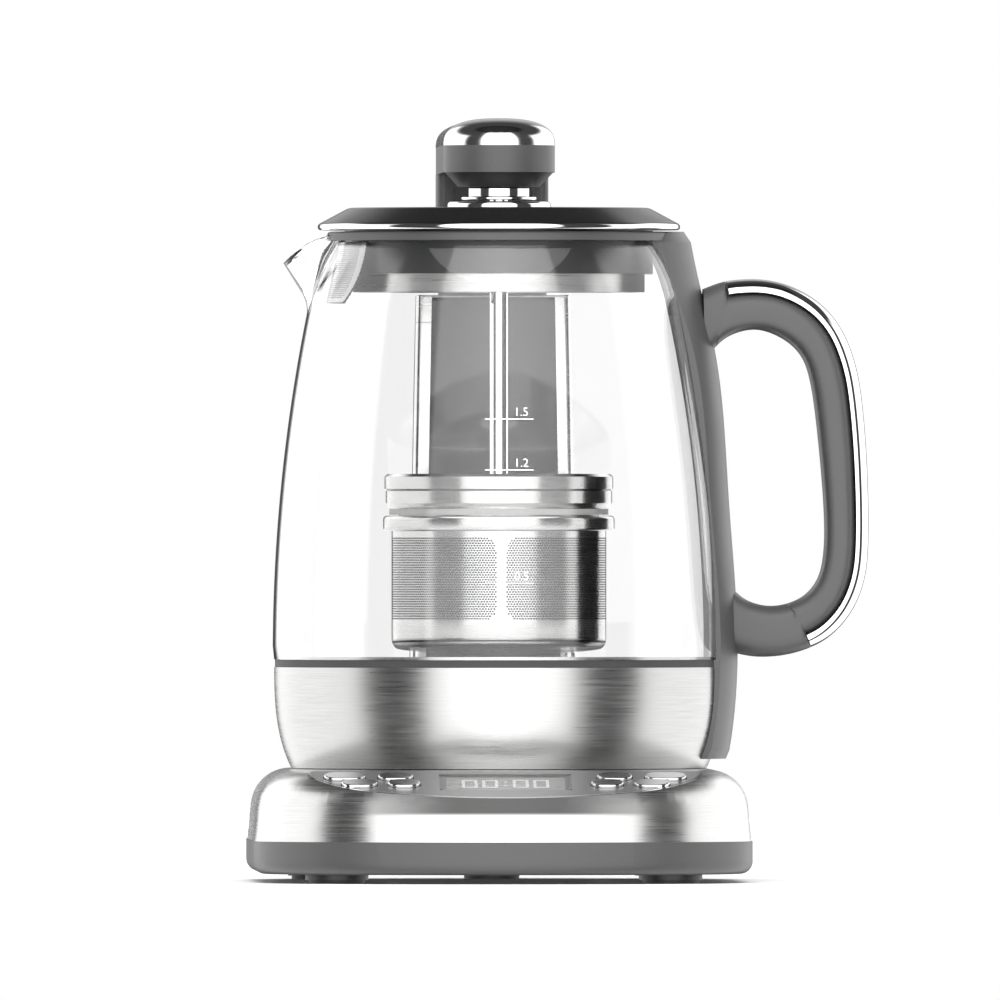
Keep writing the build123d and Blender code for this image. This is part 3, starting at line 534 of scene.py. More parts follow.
BRASS = Finish("brass", (0.72, 0.5, 0.2), 0.28, 1, Grain.LEVEL, 4e-4, 4e-6, 0.06, 0.08, 0.01)
CHROME = Finish("chrome", (0.78, 0.78, 0.785), 0.06, 1, Grain.EVEN, 2e-3, 1e-6, 0.02, 0.03, 0.03)
ARM_CHROME = Finish("arm_chrome", (0.74, 0.74, 0.745), 0.15, 1, Grain.EVEN, 2e-3, 1e-6,
                    0.03, 0.03, 0.03)
GREY_PLASTIC = Finish("grey_plastic", (0.058, 0.058, 0.059), 0.42, 0, Grain.EVEN, 3.5e-4, 8e-6,
                      0.05, 0.06, 0.04)
DARK_PLASTIC = Finish("dark_plastic", (0.03, 0.03, 0.032), 0.35, 0, Grain.EVEN, 4e-4, 8e-6,
                      0.06, 0.1, 0.03)
PANEL_PLASTIC = Finish("panel_plastic", (0.2, 0.2, 0.202), 0.33, 0.6, Grain.EVEN, 3e-4, 4e-6,
                       0.05, 0.06, 0.03)
NYLON = Finish("nylon", (0.72, 0.71, 0.67), 0.45, 0, Grain.EVEN, 7e-4, 1e-5, 0.06, 0.05, 0.02)
RUBBER = Finish("rubber", (0.035, 0.035, 0.036), 0.62, 0, Grain.EVEN, 6e-4, 2e-5,
                0.08, 0.12, 0.02)
SILICONE = Finish("silicone", (0.42, 0.42, 0.41), 0.5, 0, Grain.EVEN, 8e-4, 1e-5,
                  0.05, 0.06, 0.02)
BOARD = Finish("circuit_board", (0.02, 0.11, 0.05), 0.38, 0, Grain.EVEN, 8e-4, 1.5e-5,
               0.1, 0.5, 0.004, coat=0.3)
PRINT = Finish("white_print", (0.85, 0.85, 0.85), 0.55, 0, Grain.EVEN, 3e-4, 4e-6,
               0.05, 0.04, 0.02)
SCREEN = Finish("screen", (0.13, 0.135, 0.13), 0.3, 0, Grain.LEVEL, 3e-4, 2e-6, 0.05, 0.05, 0.01)
SEGMENT = Finish("segment_ink", (0.55, 0.56, 0.55), 0.4, 0, Grain.EVEN, 3e-4, 2e-6,
                 0.05, 0.1, 0.01)
FLOOR = Finish("pale_floor", (0.9, 0.9, 0.9), 0.6, 0, Grain.EVEN, 0.01, 1e-5, 0.03, 0.01, 0.5)
GLASS = ClearFinish("glass", (1.0, 1.0, 1.0), 1.45)
WINDOW = ClearFinish("window_glass", (0.9, 0.9, 0.9), 1.12)

NODE_FINISHES: tuple[tuple[AnyFinish, tuple[str, ...]], ...] = (
    (STEEL, ("jug_band", "column_shell", "column_cap", "heating_plate", "lid_lip")),
    (COVER_STEEL, ("base_cover",)),
    (LID_STEEL, ("lid_cover",)),
    (BASKET_STEEL, ("infuser_lid",)),
    (CHROME, ("arm_cover", "lid_rim", "lid_disc", "rod_neck", "infuser_rod", "handle_trim",
              *(f"button_{number}" for number in range(1, 9)))),
    (GREY_PLASTIC, ("base_tray", "column_front", "slider", "arm_body", "collar",
                    "handle_plate", "handle_grip")),
    (PANEL_PLASTIC, ("control_panel",)),
    (DARK_PLASTIC, ("dock_plate", "lid_plug", "head_cone", "base_connector", "jug_connector",
                    "jug_bottom_cover")),
    (WINDOW, ("display_window",)),
    (RUBBER, ("foot_pads", "glass_seal", "cord_gland")),
    (SILICONE, ("lid_seal", "basket_seal")),
    (BOARD, ("power_board", "control_board")),
    (BRASS, ("lift_nut", "screw_bushes")),
    (MACHINED, ("guide_rods", "lead_screw", "base_screws", "heating_element",
                "temperature_probe", "lift_motor", "lift_bracket")),
    (NYLON, ("screw_gear", "motor_pinion", "carriage")),
    (MAGNET, ("head_magnet",)),
)


# ---- workshop


class Workshop:
    """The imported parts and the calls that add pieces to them."""

    def __init__(self) -> None:
        """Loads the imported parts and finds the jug's axis."""
        self.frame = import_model()
        self.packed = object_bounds()
        low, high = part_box("lid_rim")
        self.axis = Vector(((low.x + high.x) / 2, (low.y + high.y) / 2, 0.0))

    def piece(self, name: str, form: Form, finish: AnyFinish, body: str,
              replaces: tuple[str, ...] = (), slot: str = "", crease: float = 35.0,
              inner: AnyFinish | None = None,
              is_inner: Callable[[Vector], bool] | None = None) -> bpy.types.Object:
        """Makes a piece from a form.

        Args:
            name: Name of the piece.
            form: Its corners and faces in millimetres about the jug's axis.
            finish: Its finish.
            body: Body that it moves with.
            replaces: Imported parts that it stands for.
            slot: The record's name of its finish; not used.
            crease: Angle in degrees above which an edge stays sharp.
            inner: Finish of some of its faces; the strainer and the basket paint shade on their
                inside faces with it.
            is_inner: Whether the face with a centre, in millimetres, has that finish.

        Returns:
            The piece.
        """
        mesh = bpy.data.meshes.new(name)
        mesh.from_pydata([[MM * c for c in corner] for corner in form.corners], [], form.faces)
        shape = bmesh.new()
        shape.from_mesh(mesh)
        bmesh.ops.remove_doubles(shape, verts=shape.verts, dist=JOIN * MM)
        bmesh.ops.recalc_face_normals(shape, faces=shape.faces)
        shape.to_mesh(mesh)
        shape.free()
        for face in mesh.polygons:
            face.use_smooth = True
            if is_inner and is_inner(face.center / MM):
                face.material_index = 1
        mesh.transform(Matrix.Translation(self.axis))
        mesh.set_sharp_from_angle(angle=math.radians(crease))
        mesh.materials.append(finish.material())
        if inner:
            mesh.materials.append(inner.material())
        piece = placed(name, mesh)
        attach(piece, body)
        if replaces:
            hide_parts(*replaces)
        LOG.info("%s: %d faces on %s", name, len(mesh.polygons), body)
        return piece

    def dress(self) -> None:
        """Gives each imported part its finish."""
        for finish, nodes in NODE_FINISHES:
            for node in nodes:
                for place in self.frame["nodes"][node].material_slots:
                    place.material = finish.material()


# ---- glass jug


@dataclass(frozen=True)
class Arc:
    """Arc of a half section: its centre's radius and height, and how far it lies from it."""

    centre: float
    height: float
    bend: float

    def out(self, height: float) -> float:
        """Returns how far the arc is from the axis at a height."""
        rise = max(-self.bend, min(self.bend, height - self.height))
        return self.centre + math.sqrt(self.bend**2 - rise**2)


@dataclass(frozen=True)
class SpoutLevel:
    """Level section of the spout: its height, its reach from the axis and its radius."""

    height: float
    reach: float
    radius: float


@dataclass
class GlassLooks:
    """Glass of the jug with its spout, whose shares run from its low to its high section."""

    shop: Workshop
    foot: float = 78.85
    shoulder: float = 204.8
    rim: float = 229.35
    wall_arc: Arc = Arc(-531.54254, 80.29531, 611.84424)
    neck_arc: Arc = Arc(-18.24183, 186.97946, 87.57415)
    wall: float = 2.4
    foot_inset: float = 0.5
    rim_bevel: float = 0.35
    spout_low: SpoutLevel = SpoutLevel(204.4, 67.1, 5.0)
    spout_high: SpoutLevel = SpoutLevel(233.4, 85.1, 16.0)
    spout_from: float = -0.8
    spout_least: float = -0.35
    spout_half_angle: float = 1.0
    spout_fall: float = 3.0
    blend: float = 3.6
    lip_start: Point = (61.4, 228.8)
    lip_droop: float = 10.0
    lip_reach: float = 16.0
    lip_bow: float = 1.7
    lip_rounds: int = 40
    sides: int = 420
    crowding: float = 0.6
    fine_from: float = 195.0
    plain_rows: int = 24
    fine_rows: int = 96

    def wall_radius(self, height: float) -> float:
        """Returns the outer radius of the plain wall at a height."""
        return (self.wall_arc if height < self.shoulder else self.neck_arc).out(height)

    def radius(self, turn: float, height: float) -> float:
        """Finds the outer radius with the spout.

        Args:
            turn: Angle from the spout in radians.
            height: Height in millimetres.

        Returns:
            The radius.
        """
        low, high = self.spout_low, self.spout_high
        plain = self.wall_radius(height)
        share = (height - low.height) / (high.height - low.height)
        if share < self.spout_from or abs(turn) > self.spout_half_angle:
            return plain
        share = max(share, self.spout_least)
        size = low.radius + share * (high.radius - low.radius)
        centre = low.reach + share * (high.reach - low.reach) - size
        aside = centre * math.sin(turn)
        if abs(aside) < size:
            lip = centre * math.cos(turn) + math.sqrt(size**2 - aside**2)
        else:
            lip = centre * math.cos(turn) - self.spout_fall * (abs(aside) - size)
        overlap = max(0.0, self.blend - abs(plain - lip))
        return max(plain, lip) + overlap**2 / (4 * self.blend)

    def rim_height(self, turn: float) -> float:
        """Returns the height of the rim at an angle from the spout, found by closing in on it."""
        height = self.rim
        if abs(turn) > self.spout_half_angle:
            return height
        for _ in range(self.lip_rounds):
            out = self.radius(turn, height) * math.cos(turn) - self.lip_start[0]
            wanted = self.rim
            if out > 0:
                drop = self.lip_droop * (out / self.lip_reach) ** self.lip_bow
                wanted = min(wanted, self.lip_start[1] - drop)
            height += 0.5 * (wanted - height)
        return height

    def column(self, turn: float) -> list[Corner]:
        """Finds the section of the wall at an angle.

        Args:
            turn: Angle from the spout in radians.

        Returns:
            Points up the outer face, over the rim and down the inner face.
        """
        top, foot = self.rim_height(turn), self.foot
        levels = [foot + (self.fine_from - foot) * row / self.plain_rows
                  for row in range(self.plain_rows)]
        levels += [self.fine_from + (top - self.fine_from) * row / self.fine_rows
                   for row in range(self.fine_rows + 1)]
        outer = [(self.radius(turn, height), height) for height in levels]
        inner = [(radius - self.wall, height) for radius, height in outer]
        outer[0] = (outer[0][0] - self.foot_inset, outer[0][1])
        rim = [(outer[-1][0] - self.rim_bevel, top), (inner[-1][0] + self.rim_bevel, top)]
        outer[-1] = (outer[-1][0], top - self.rim_bevel)
        inner[-1] = (inner[-1][0], top - self.rim_bevel)
        return [(-radius * math.cos(turn), -radius * math.sin(turn), height)
                for radius, height in outer + rim + inner[::-1]]

    def build(self) -> None:
        """Makes the glass as one closed wall, finer round the spout."""
        form = Form()
        for side in range(self.sides):
            turn = 2 * math.pi * side / self.sides - math.pi
            form.corners += self.column(turn - self.crowding * math.sin(turn))
        count = len(form.corners) // self.sides
        for side in range(self.sides):
            here, after = side * count, (side + 1) % self.sides * count
            for step in range(count):
                following = (step + 1) % count
                form.faces.append((here + step, after + step, after + following, here + following))
        self.shop.piece("jug_glass", form, GLASS, "jug", ("glass_body",), "glass", crease=60)


@dataclass
class StrainerLooks:
    """Fine strainer behind the spout, narrower at its foot."""

    shop: Workshop
    low: float = 205.2
    high: float = 226.2
    low_radius: float = 61.4
    high_radius: float = 56.6
    half_angle: float = 34.0
    taper: float = 0.24
    sheet: float = 0.5
    skin: float = 0.05
    columns: int = 96
    rows: int = 30
    side_margin: int = 4
    end_margin: int = 2
    hole: float = 0.36

    def radius(self, share: float) -> float:
        """Returns the outer radius at a share of the height."""
        return self.low_radius + (self.high_radius - self.low_radius) * share

    def at(self, inset: float, column: float, row: float) -> Corner:
        """Finds a point of the sheet.

        Args:
            inset: Depth below the outer face.
            column: Its column, from one edge to the other.
            row: Its row, from the foot up.

        Returns:
            The point.
        """
        share = row / self.rows
        radius = self.radius(share) - inset
        half = math.radians(self.half_angle) * (1 - self.taper * (1 - share) ** 3)
        turn = half * (2 * column / self.columns - 1)
        return (-radius * math.cos(turn), -radius * math.sin(turn),
                self.low + (self.high - self.low) * share)

    def is_open(self, column: int, row: int) -> bool:
        """Returns whether that place has a hole; the margins have none."""
        return (self.side_margin <= column < self.columns - self.side_margin - 1
                and self.end_margin <= row < self.rows - self.end_margin)

    def is_inside(self, place: Vector) -> bool:
        """Returns whether a face with that centre lies behind the outer face, where shade is
        painted.
        """
        share = (place.z - self.low) / (self.high - self.low)
        return place.xy.length < self.radius(share) - self.skin

    def build(self) -> None:
        """Makes the strainer."""
        faces = partial(self.at, 0.0), partial(self.at, self.sheet)
        form = sheet_with_holes(self.columns, self.rows, *faces, self.is_open, False, self.hole)
        # The inside faces get the near-black steel as painted shade.
        self.shop.piece("spout_mesh", form, STRAINER_STEEL, "jug", ("spout_strainer",),
                        "basket_steel", inner=PAINTED_SHADE_STEEL, is_inner=self.is_inside)


@dataclass
class LevelMarks:
    """Level lines with plain numbers, printed on the front of the glass."""

    shop: Workshop
    glass: GlassLooks
    levels: tuple[tuple[float, str], ...] = ((164.0, "1.5"), (146.0, "1.2"), (106.0, "0.5"))
    left: float = -6.8
    right: float = 10.4
    width: float = 0.36
    under: float = 0.02
    over: float = 0.07
    steps: int = 16
    figure_middle: float = 6.1
    figure_rise: float = 1.1
    figure_size: float = 3.1
    capital_share: float = 0.72
    join: float = 0.0001

    def on_glass(self, x: float, height: float, proud: float) -> Corner:
        """Returns the point of the glass's front at x and a height, a little proud of it."""
        radius = self.glass.wall_radius(height) + proud
        turn = x / radius
        return (radius * math.sin(turn), -radius * math.cos(turn), height)

    def line(self, height: float) -> Form:
        """Returns the line at a height as a thin strip on the glass."""
        half = self.width / 2
        section = ((-half, self.under), (half, self.under), (half, self.over),
                   (-half, self.over), (-half, self.under))
        rings = []
        for step in range(self.steps + 1):
            x = self.left + (self.right - self.left) * step / self.steps
            rings.append([self.on_glass(x, height + z, proud) for z, proud in section])
        return capped(rings)

    def figures(self, text: str, height: float) -> Form:
        """Makes figures that lie on the glass.

        Args:
            text: Figures to write.
            height: Height of their foot.

        Returns:
            The figures as thin plates.
        """
        curve = bpy.data.curves.new("figures", "FONT")
        curve.body = text
        curve.size = self.figure_size / self.capital_share
        curve.align_x = "CENTER"
        curve.resolution_u = 3
        holder = bpy.data.objects.new("figures", curve)
        mesh = bpy.data.meshes.new_from_object(holder)
        bpy.data.objects.remove(holder)
        shape = bmesh.new()
        shape.from_mesh(mesh)
        bmesh.ops.triangulate(shape, faces=shape.faces)
        bmesh.ops.remove_doubles(shape, verts=shape.verts, dist=self.join)
        made = bmesh.ops.extrude_face_region(shape, geom=shape.faces[:])
        top = {vertex for vertex in made["geom"] if isinstance(vertex, bmesh.types.BMVert)}
        form = Form()
        for index, vertex in enumerate(shape.verts):
            vertex.index = index
            x, y, _ = vertex.co
            form.corners.append(self.on_glass(self.figure_middle + x, height + y,
                                              self.over if vertex in top else self.under))
        form.faces = [tuple(vertex.index for vertex in face.verts) for face in shape.faces]
        shape.free()
        bpy.data.meshes.remove(mesh)
        return form

    def build(self) -> None:
        """Makes each line with its number."""
        for number, (height, text) in enumerate(self.levels, start=1):
            form = self.line(height).add(self.figures(text, height + self.figure_rise))
            self.shop.piece(f"level_mark_{number}", form, PRINT, "jug", crease=40)


# ---- tea basket


@dataclass
class BasketLooks:
    """Perforated basket with its rolled rim."""

    shop: Workshop
    radius: float = 38.1
    sheet: float = 0.8
    low: float = 84.7
    top: float = 129.8
    rim_radius: float = 41.1
    rim_low: float = 124.4
    holes_low: float = 92.9
    holes_high: float = 122.2
    columns: int = 236
    rows: int = 34
    panels: int = 4
    bar: int = 4
    corner: float = 4.0
    hole: float = 0.41
    skin: float = 0.1
    inside_from: float = 85.7

    @property
    def rise(self) -> float:
        """Returns the height of a row."""
        return (self.holes_high - self.holes_low) / self.rows

    def at(self, radius: float, column: float, row: float) -> Corner:
        """Returns the point of the wall at a radius for a column and a row."""
        turn = 2 * math.pi * column / self.columns
        return (radius * math.cos(turn), radius * math.sin(turn), self.holes_low + self.rise * row)

    def is_open(self, column: int, row: int) -> bool:
        """Finds whether a place has a hole.

        Args:
            column: Its column.
            row: Its row.

        Returns:
            True inside a round-cornered panel, false on the bars between the panels.
        """
        pitch = 2 * math.pi * self.radius / self.columns
        panel = self.columns // self.panels
        across = (column + 0.5 + (row % 2) / 2) % panel - self.bar / 2
        side = min(across, panel - self.bar - across) * pitch
        end = min(row + 0.5, self.rows - row - 0.5) * self.rise
        if 0 <= side < self.corner and end < self.corner:
            return math.hypot(self.corner - side, self.corner - end) < self.corner
        return side >= 0

    def is_inside(self, place: Vector) -> bool:
        """Returns whether a face with that centre is on the inside of the wall, where shade is
        painted.
        """
        return (self.inside_from < place.z < self.rim_low
                and place.xy.length < self.radius - self.skin)

    def build(self) -> None:
        """Makes the basket as one shell."""
        inside, sides = self.radius - self.sheet, 2 * self.columns
        faces = partial(self.at, self.radius), partial(self.at, inside)
        form = sheet_with_holes(self.columns, self.rows, *faces, self.is_open, True, self.hole)
        below = rounded(
            [(inside, self.holes_low), (inside, self.low + self.sheet),
             (0.0, self.low + self.sheet), (0.0, self.low), (self.radius, self.low),
             (self.radius, self.holes_low)], {1: 1.5, 4: 2.3})
        above = rounded(
            [(self.radius, self.holes_high), (self.radius, self.rim_low),
             (self.rim_radius, self.rim_low), (self.rim_radius, self.top),
             (self.radius - 0.4, self.top), (inside, self.top - 0.6),
             (inside, self.holes_high)], {2: 0.9, 3: 1.4, 4: 0.5})
        form.add(turned(below, sides, False)).add(turned(above, sides, False))
        # The inside faces get the near-black steel as painted shade.
        self.shop.piece("basket_shell", form, BASKET_STEEL, "basket", ("tea_basket",),
                        "basket_steel", inner=PAINTED_SHADE_STEEL, is_inner=self.is_inside)


# ---- cover


@dataclass
class CoverLooks:
    """Steel cover of the base, with its bends running into each other without a crease."""

    shop: Workshop
    crease: float = 30.0

    def build(self) -> None:
        """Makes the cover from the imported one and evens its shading."""
        node = self.shop.frame["nodes"]["base_cover"]
        form = Form()
        form.corners = [tuple((node.matrix_world @ vertex.co - self.shop.axis) / MM)
                        for vertex in node.data.vertices]
        form.faces = [tuple(face.vertices) for face in node.data.polygons]
        cover = self.shop.piece("cover_shell", form, COVER_STEEL, "base", ("base_cover",),
                                "brushed_steel", crease=self.crease)
        cover.modifiers.new("even_shading", "WEIGHTED_NORMAL").keep_sharp = True


# ---- column


@dataclass
class ColumnLooks:
    """Folded steel shell of the rear column and its cap."""

    shop: Workshop
    front: float = 83.0
    depth: float = 36.0
    top_width: float = 57.0
    top: float = 208.5
    seam: float = 198.8
    seam_gap: float = 0.15
    foot: float = 30.0
    taper: float = 0.855
    strip: float = 5.8
    sheet: float = 0.8
    corner: float = 2.6
    least_corner: float = 1.1
    back_corner: float = 8.0
    cap_wall: float = 2.0
    cap_plate: float = 0.8
    cap_edge: float = 0.6
    edge_steps: int = 5
    slot_width: float = 40.6
    slot_depth: float = 20.6

    def half_width(self, height: float) -> float:
        """Returns half of the column's width at a height."""
        return self.top_width / 2 + (self.top - height) * math.tan(math.radians(self.taper))

    def loop(self, inset: float, height: float, is_open: bool) -> list[Corner]:
        """Finds the column's outline at a height.

        Args:
            inset: How far it lies inside the outer face.
            height: Height of the outline.
            is_open: True where the front between the strips is left out.

        Returns:
            Points from the left of the front round the back, and back to the start if closed.
        """
        half = self.half_width(height)
        low, high = self.front + inset, self.front + self.depth - inset
        side = half - inset
        gap = half - self.strip
        points = [(-gap, low), (-side, low), (-side, high), (side, high), (side, low), (gap, low)]
        front, back = max(self.corner - inset, self.least_corner), self.back_corner - inset
        outline = rounded(points, {1: front, 2: back, 3: back, 4: front})
        if not is_open:
            outline.append(outline[0])
        return [(x, y, height) for x, y in outline]

    def wall(self, low: float, high: float, thick: float) -> Form:
        """Makes a wall round the sides and the back, open at its two upright edges.

        Args:
            low: Height of its foot.
            high: Height of its top.
            thick: Its thickness.

        Returns:
            The wall.
        """
        rows = [self.loop(0.0, low, True), self.loop(0.0, high, True),
                self.loop(thick, high, True), self.loop(thick, low, True)]
        return grid(rows + rows[:1])

    def slot(self, height: float) -> list[Corner]:
        """Returns the slider's slot at a height, point for point with the closed outline."""
        middle = self.front + self.depth / 2
        points = []
        for x, y, _ in self.loop(0.0, height, False):
            across, along = x / self.half_width(height), (y - middle) / (self.depth / 2)
            reach = max(abs(across), abs(along))
            points.append((across / reach * self.slot_width / 2,
                           middle + along / reach * self.slot_depth / 2, height))
        return points

    def build(self) -> None:
        """Makes the shell and the cap."""
        shell = self.wall(self.foot, self.seam, self.sheet)
        count = len(self.loop(0.0, self.foot, True))
        shell.faces.append((0, count, 2 * count, 3 * count))
        shell.faces.append((4 * count - 1, 3 * count - 1, 2 * count - 1, count - 1))
        self.shop.piece("column_casing", shell, SHELL_STEEL, "base", ("column_shell",),
                        "brushed_steel")
        under = self.top - self.cap_plate
        cap = self.wall(self.seam + self.seam_gap, under, self.cap_wall)
        rows = [self.loop(0.0, under, False)]
        for step in range(self.edge_steps + 1):
            turn = math.pi / 2 * step / self.edge_steps
            rows.append(self.loop(self.cap_edge * (1 - math.cos(turn)),
                                  self.top - self.cap_edge * (1 - math.sin(turn)), False))
        rows += [self.slot(self.top), self.slot(under), rows[0]]
        self.shop.piece("column_top", cap.add(grid(rows)), SHELL_STEEL, "base", ("column_cap",),
                        "dark_plastic", crease=40)


# ---- handle


@dataclass
class HandleLooks:
    """Grip of the handle with its chromed strip, swept round the loop.

    The outside and the inside are points out from the jug's foot and up from its underside.
    """

    shop: Workshop
    foot: float = 80.3
    low: float = 40.3
    width: float = 24.0
    fullness: float = 3.4
    strip_width: float = 21.0
    strip_fullness: float = 2.5
    thick: float = 4.6
    clearance: float = 0.1
    outside: tuple[Point, ...] = (
        (-7.9, 170.0), (-1.1, 172.5), (5.6, 173.4), (13.4, 173.4), (21.6, 171.7), (29.4, 168.0),
        (36.1, 162.7), (41.5, 155.5), (45.5, 146.0), (48.2, 134.0), (50.1, 113.9), (50.9, 94.1),
        (50.9, 80.6), (50.1, 69.9), (47.5, 60.6), (42.9, 52.5), (36.1, 45.8), (28.2, 41.9),
        (20.2, 39.9), (12.1, 39.4), (5.5, 40.3), (-0.5, 42.0))
    inside: tuple[Point, ...] = (
        (-7.5, 144.5), (-4.0, 148.8), (1.4, 153.4), (10.8, 155.8), (20.2, 152.6), (26.9, 146.6),
        (30.1, 138.1), (32.2, 124.6), (34.2, 104.7), (35.3, 87.3), (34.9, 75.3), (32.9, 67.1),
        (28.2, 61.2), (21.6, 58.2), (14.8, 57.5), (8.1, 59.3), (3.8, 62.5), (1.0, 65.7))
    strip_from: float = 0.04
    strip_to: float = 0.85
    joint: float = 0.0008
    upper_steps: int = 12
    steps: int = 120
    lower_steps: int = 24
    ring_steps: int = 48
    span_steps: int = 24
    smoothing: int = 80

    def curve(self, points: tuple[Point, ...]) -> Callable[[float], Vector]:
        """Makes a smooth curve along points.

        Args:
            points: Points of the outside or the inside.

        Returns:
            The place for a share of the curve's length.
        """
        places = [Vector((self.foot + x, self.low + z)) for x, z in points]
        places = [2 * places[0] - places[1]] + places + [2 * places[-1] - places[-2]]
        fine: list[Vector] = []
        for a, b, c, d in zip(places, places[1:], places[2:], places[3:]):
            for step in range(self.span_steps):
                t = step / self.span_steps
                fine.append(0.5 * (2 * b + (c - a) * t + (2 * a - 5 * b + 4 * c - d) * t**2
                                   + (3 * b - a - 3 * c + d) * t**3))
        fine.append(places[-2])
        for _ in range(self.smoothing):
            fine[1:-1] = [(a + 2 * b + c) / 4 for a, b, c in zip(fine, fine[1:], fine[2:])]
        lengths = [0.0]
        for before, after in zip(fine, fine[1:]):
            lengths.append(lengths[-1] + (after - before).length)

        def place(share: float) -> Vector:
            """Returns the place for a share of the length."""
            wanted = share * lengths[-1]
            index = 0
            while index < len(fine) - 2 and lengths[index + 1] < wanted:
                index += 1
            span = lengths[index + 1] - lengths[index]
            return fine[index].lerp(fine[index + 1], (wanted - lengths[index]) / span)

        return place

    def ring(self, outer: Vector, inner: Vector, half: float, fullness: float) -> list[Corner]:
        """Makes a round-cornered section between two places.

        Args:
            outer: Its outer side.
            inner: Its inner side.
            half: Half of its width.
            fullness: Exponent of its outline; 2 is an ellipse.

        Returns:
            The section's points, closed.
        """
        middle, reach = (outer + inner) / 2, (outer - inner) / 2
        points = []
        for step in range(self.ring_steps + 1):
            turn = 2 * math.pi * step / self.ring_steps
            cosine, sine = math.cos(turn), math.sin(turn)
            place = middle + reach * math.copysign(abs(cosine) ** (2 / fullness), cosine)
            aside = math.copysign(abs(sine) ** (2 / fullness), sine) * half
            points.append((place.x, aside, place.y))
        return points

    def build(self) -> None:
        """Makes the grip, let in for the strip between its heels, and the strip."""
        outer, inner = self.curve(self.outside), self.curve(self.inside)

        def across(share: float) -> Vector:
            """Returns the unit vector from the outer side to the inner side."""
            ahead, back = outer(min(1.0, share + 0.01)), outer(max(0.0, share - 0.01))
            along = (ahead - back).normalized()
            return Vector((along.y, -along.x))

        recess = self.thick + self.clearance
        grip = []
        for first, last, steps, sunk in (
                (0.0, self.strip_from, self.upper_steps, 0.0),
                (self.strip_from + self.joint, self.strip_to - self.joint, self.steps, recess),
                (self.strip_to, 1.0, self.lower_steps, 0.0)):
            for step in range(steps + 1):
                share = first + (last - first) * step / steps
                start = outer(share) + across(share) * sunk
                grip.append(self.ring(start, inner(share), self.width / 2, self.fullness))
        self.shop.piece("grip", capped(grip), GREY_PLASTIC, "jug", ("handle_grip",),
                        "grey_plastic", crease=60)
        strip = []
        length = self.strip_to - self.strip_from - 4 * self.joint
        for step in range(self.steps + 1):
            share = self.strip_from + 2 * self.joint + length * step / self.steps
            start, down = outer(share), across(share) * self.thick
            end = start + down
            section = self.ring(start, start + down * 2, self.strip_width / 2, self.strip_fullness)
            strip.append([(x, y, z) if (Vector((x, z)) - start).dot(down) < self.thick**2
                          else (end.x, y, end.y) for x, y, z in section])
        self.shop.piece("grip_strip", capped(strip), CHROME, "jug", ("handle_trim",), "chrome",
                        crease=40)


# ---- lid


@dataclass
class LidLooks:
    """Steel lid with its chromed rim, its disc and the neck of the basket's rod."""

    shop: Workshop
    low: float = 231.2
    edge: float = 233.5
    top: float = 239.1
    flat: float = 53.3
    radius: float = 64.3
    skirt: float = 54.75
    sheet: float = 0.8
    hub: float = 7.05
    disc: float = 18.4
    disc_top: float = 241.4
    bush_low: float = 215.3
    bore: float = 3.25
    dish: float = 13.4
    dish_low: float = 241.9
    neck: float = 10.8
    neck_low: float = 243.0
    neck_top: float = 246.3
    edge_inset: float = 0.6
    edge_flat: float = 1.6
    bend_inset: float = 0.5
    bush_gap: float = 0.05
    sides: int = 256

    def build(self) -> None:
        """Makes the lid's turned pieces."""
        outer, bush = self.radius - self.edge_inset, self.hub - self.bush_gap
        bend, under = self.flat - self.bend_inset, self.top - self.sheet
        cover = [(self.hub, self.top), (self.flat, self.top), (outer, self.edge),
                 (outer - self.edge_flat, self.edge), (bend, under), (self.hub, under)]
        rim = [(self.skirt, self.low), (self.radius, self.low), (self.radius, self.edge),
               (self.skirt, self.edge)]
        disc = [(self.bore, self.bush_low), (bush, self.bush_low), (bush, self.top),
                (self.disc, self.top), (self.disc, self.disc_top), (self.bore, self.disc_top)]
        neck = [(0.0, self.dish_low), (self.dish, self.dish_low), (self.dish, self.neck_low),
                (self.neck, self.neck_low), (self.neck, self.neck_top), (0.0, self.neck_top)]
        for profile, radii, name, finish, body, node, slot in (
                (cover, {1: 5.0, 4: 4.0}, "lid_top", LID_STEEL, "jug", "lid_cover",
                 "brushed_steel"),
                (rim, {1: 0.9, 2: 1.0}, "lid_ring", CHROME, "jug", "lid_rim", "chrome"),
                (disc, {1: 0.5, 4: 1.3, 5: 0.3}, "lid_boss", CHROME, "jug", "lid_disc", "chrome"),
                (neck, {1: 0.5, 2: 0.4, 3: 0.3, 4: 0.4}, "basket_neck", CHROME, "infuser",
                 "rod_neck", "chrome")):
            form = turned(rounded(profile, radii), self.sides, profile[0][0] > 0)
            self.shop.piece(name, form, finish, body, (node,), slot)


# ---- arm


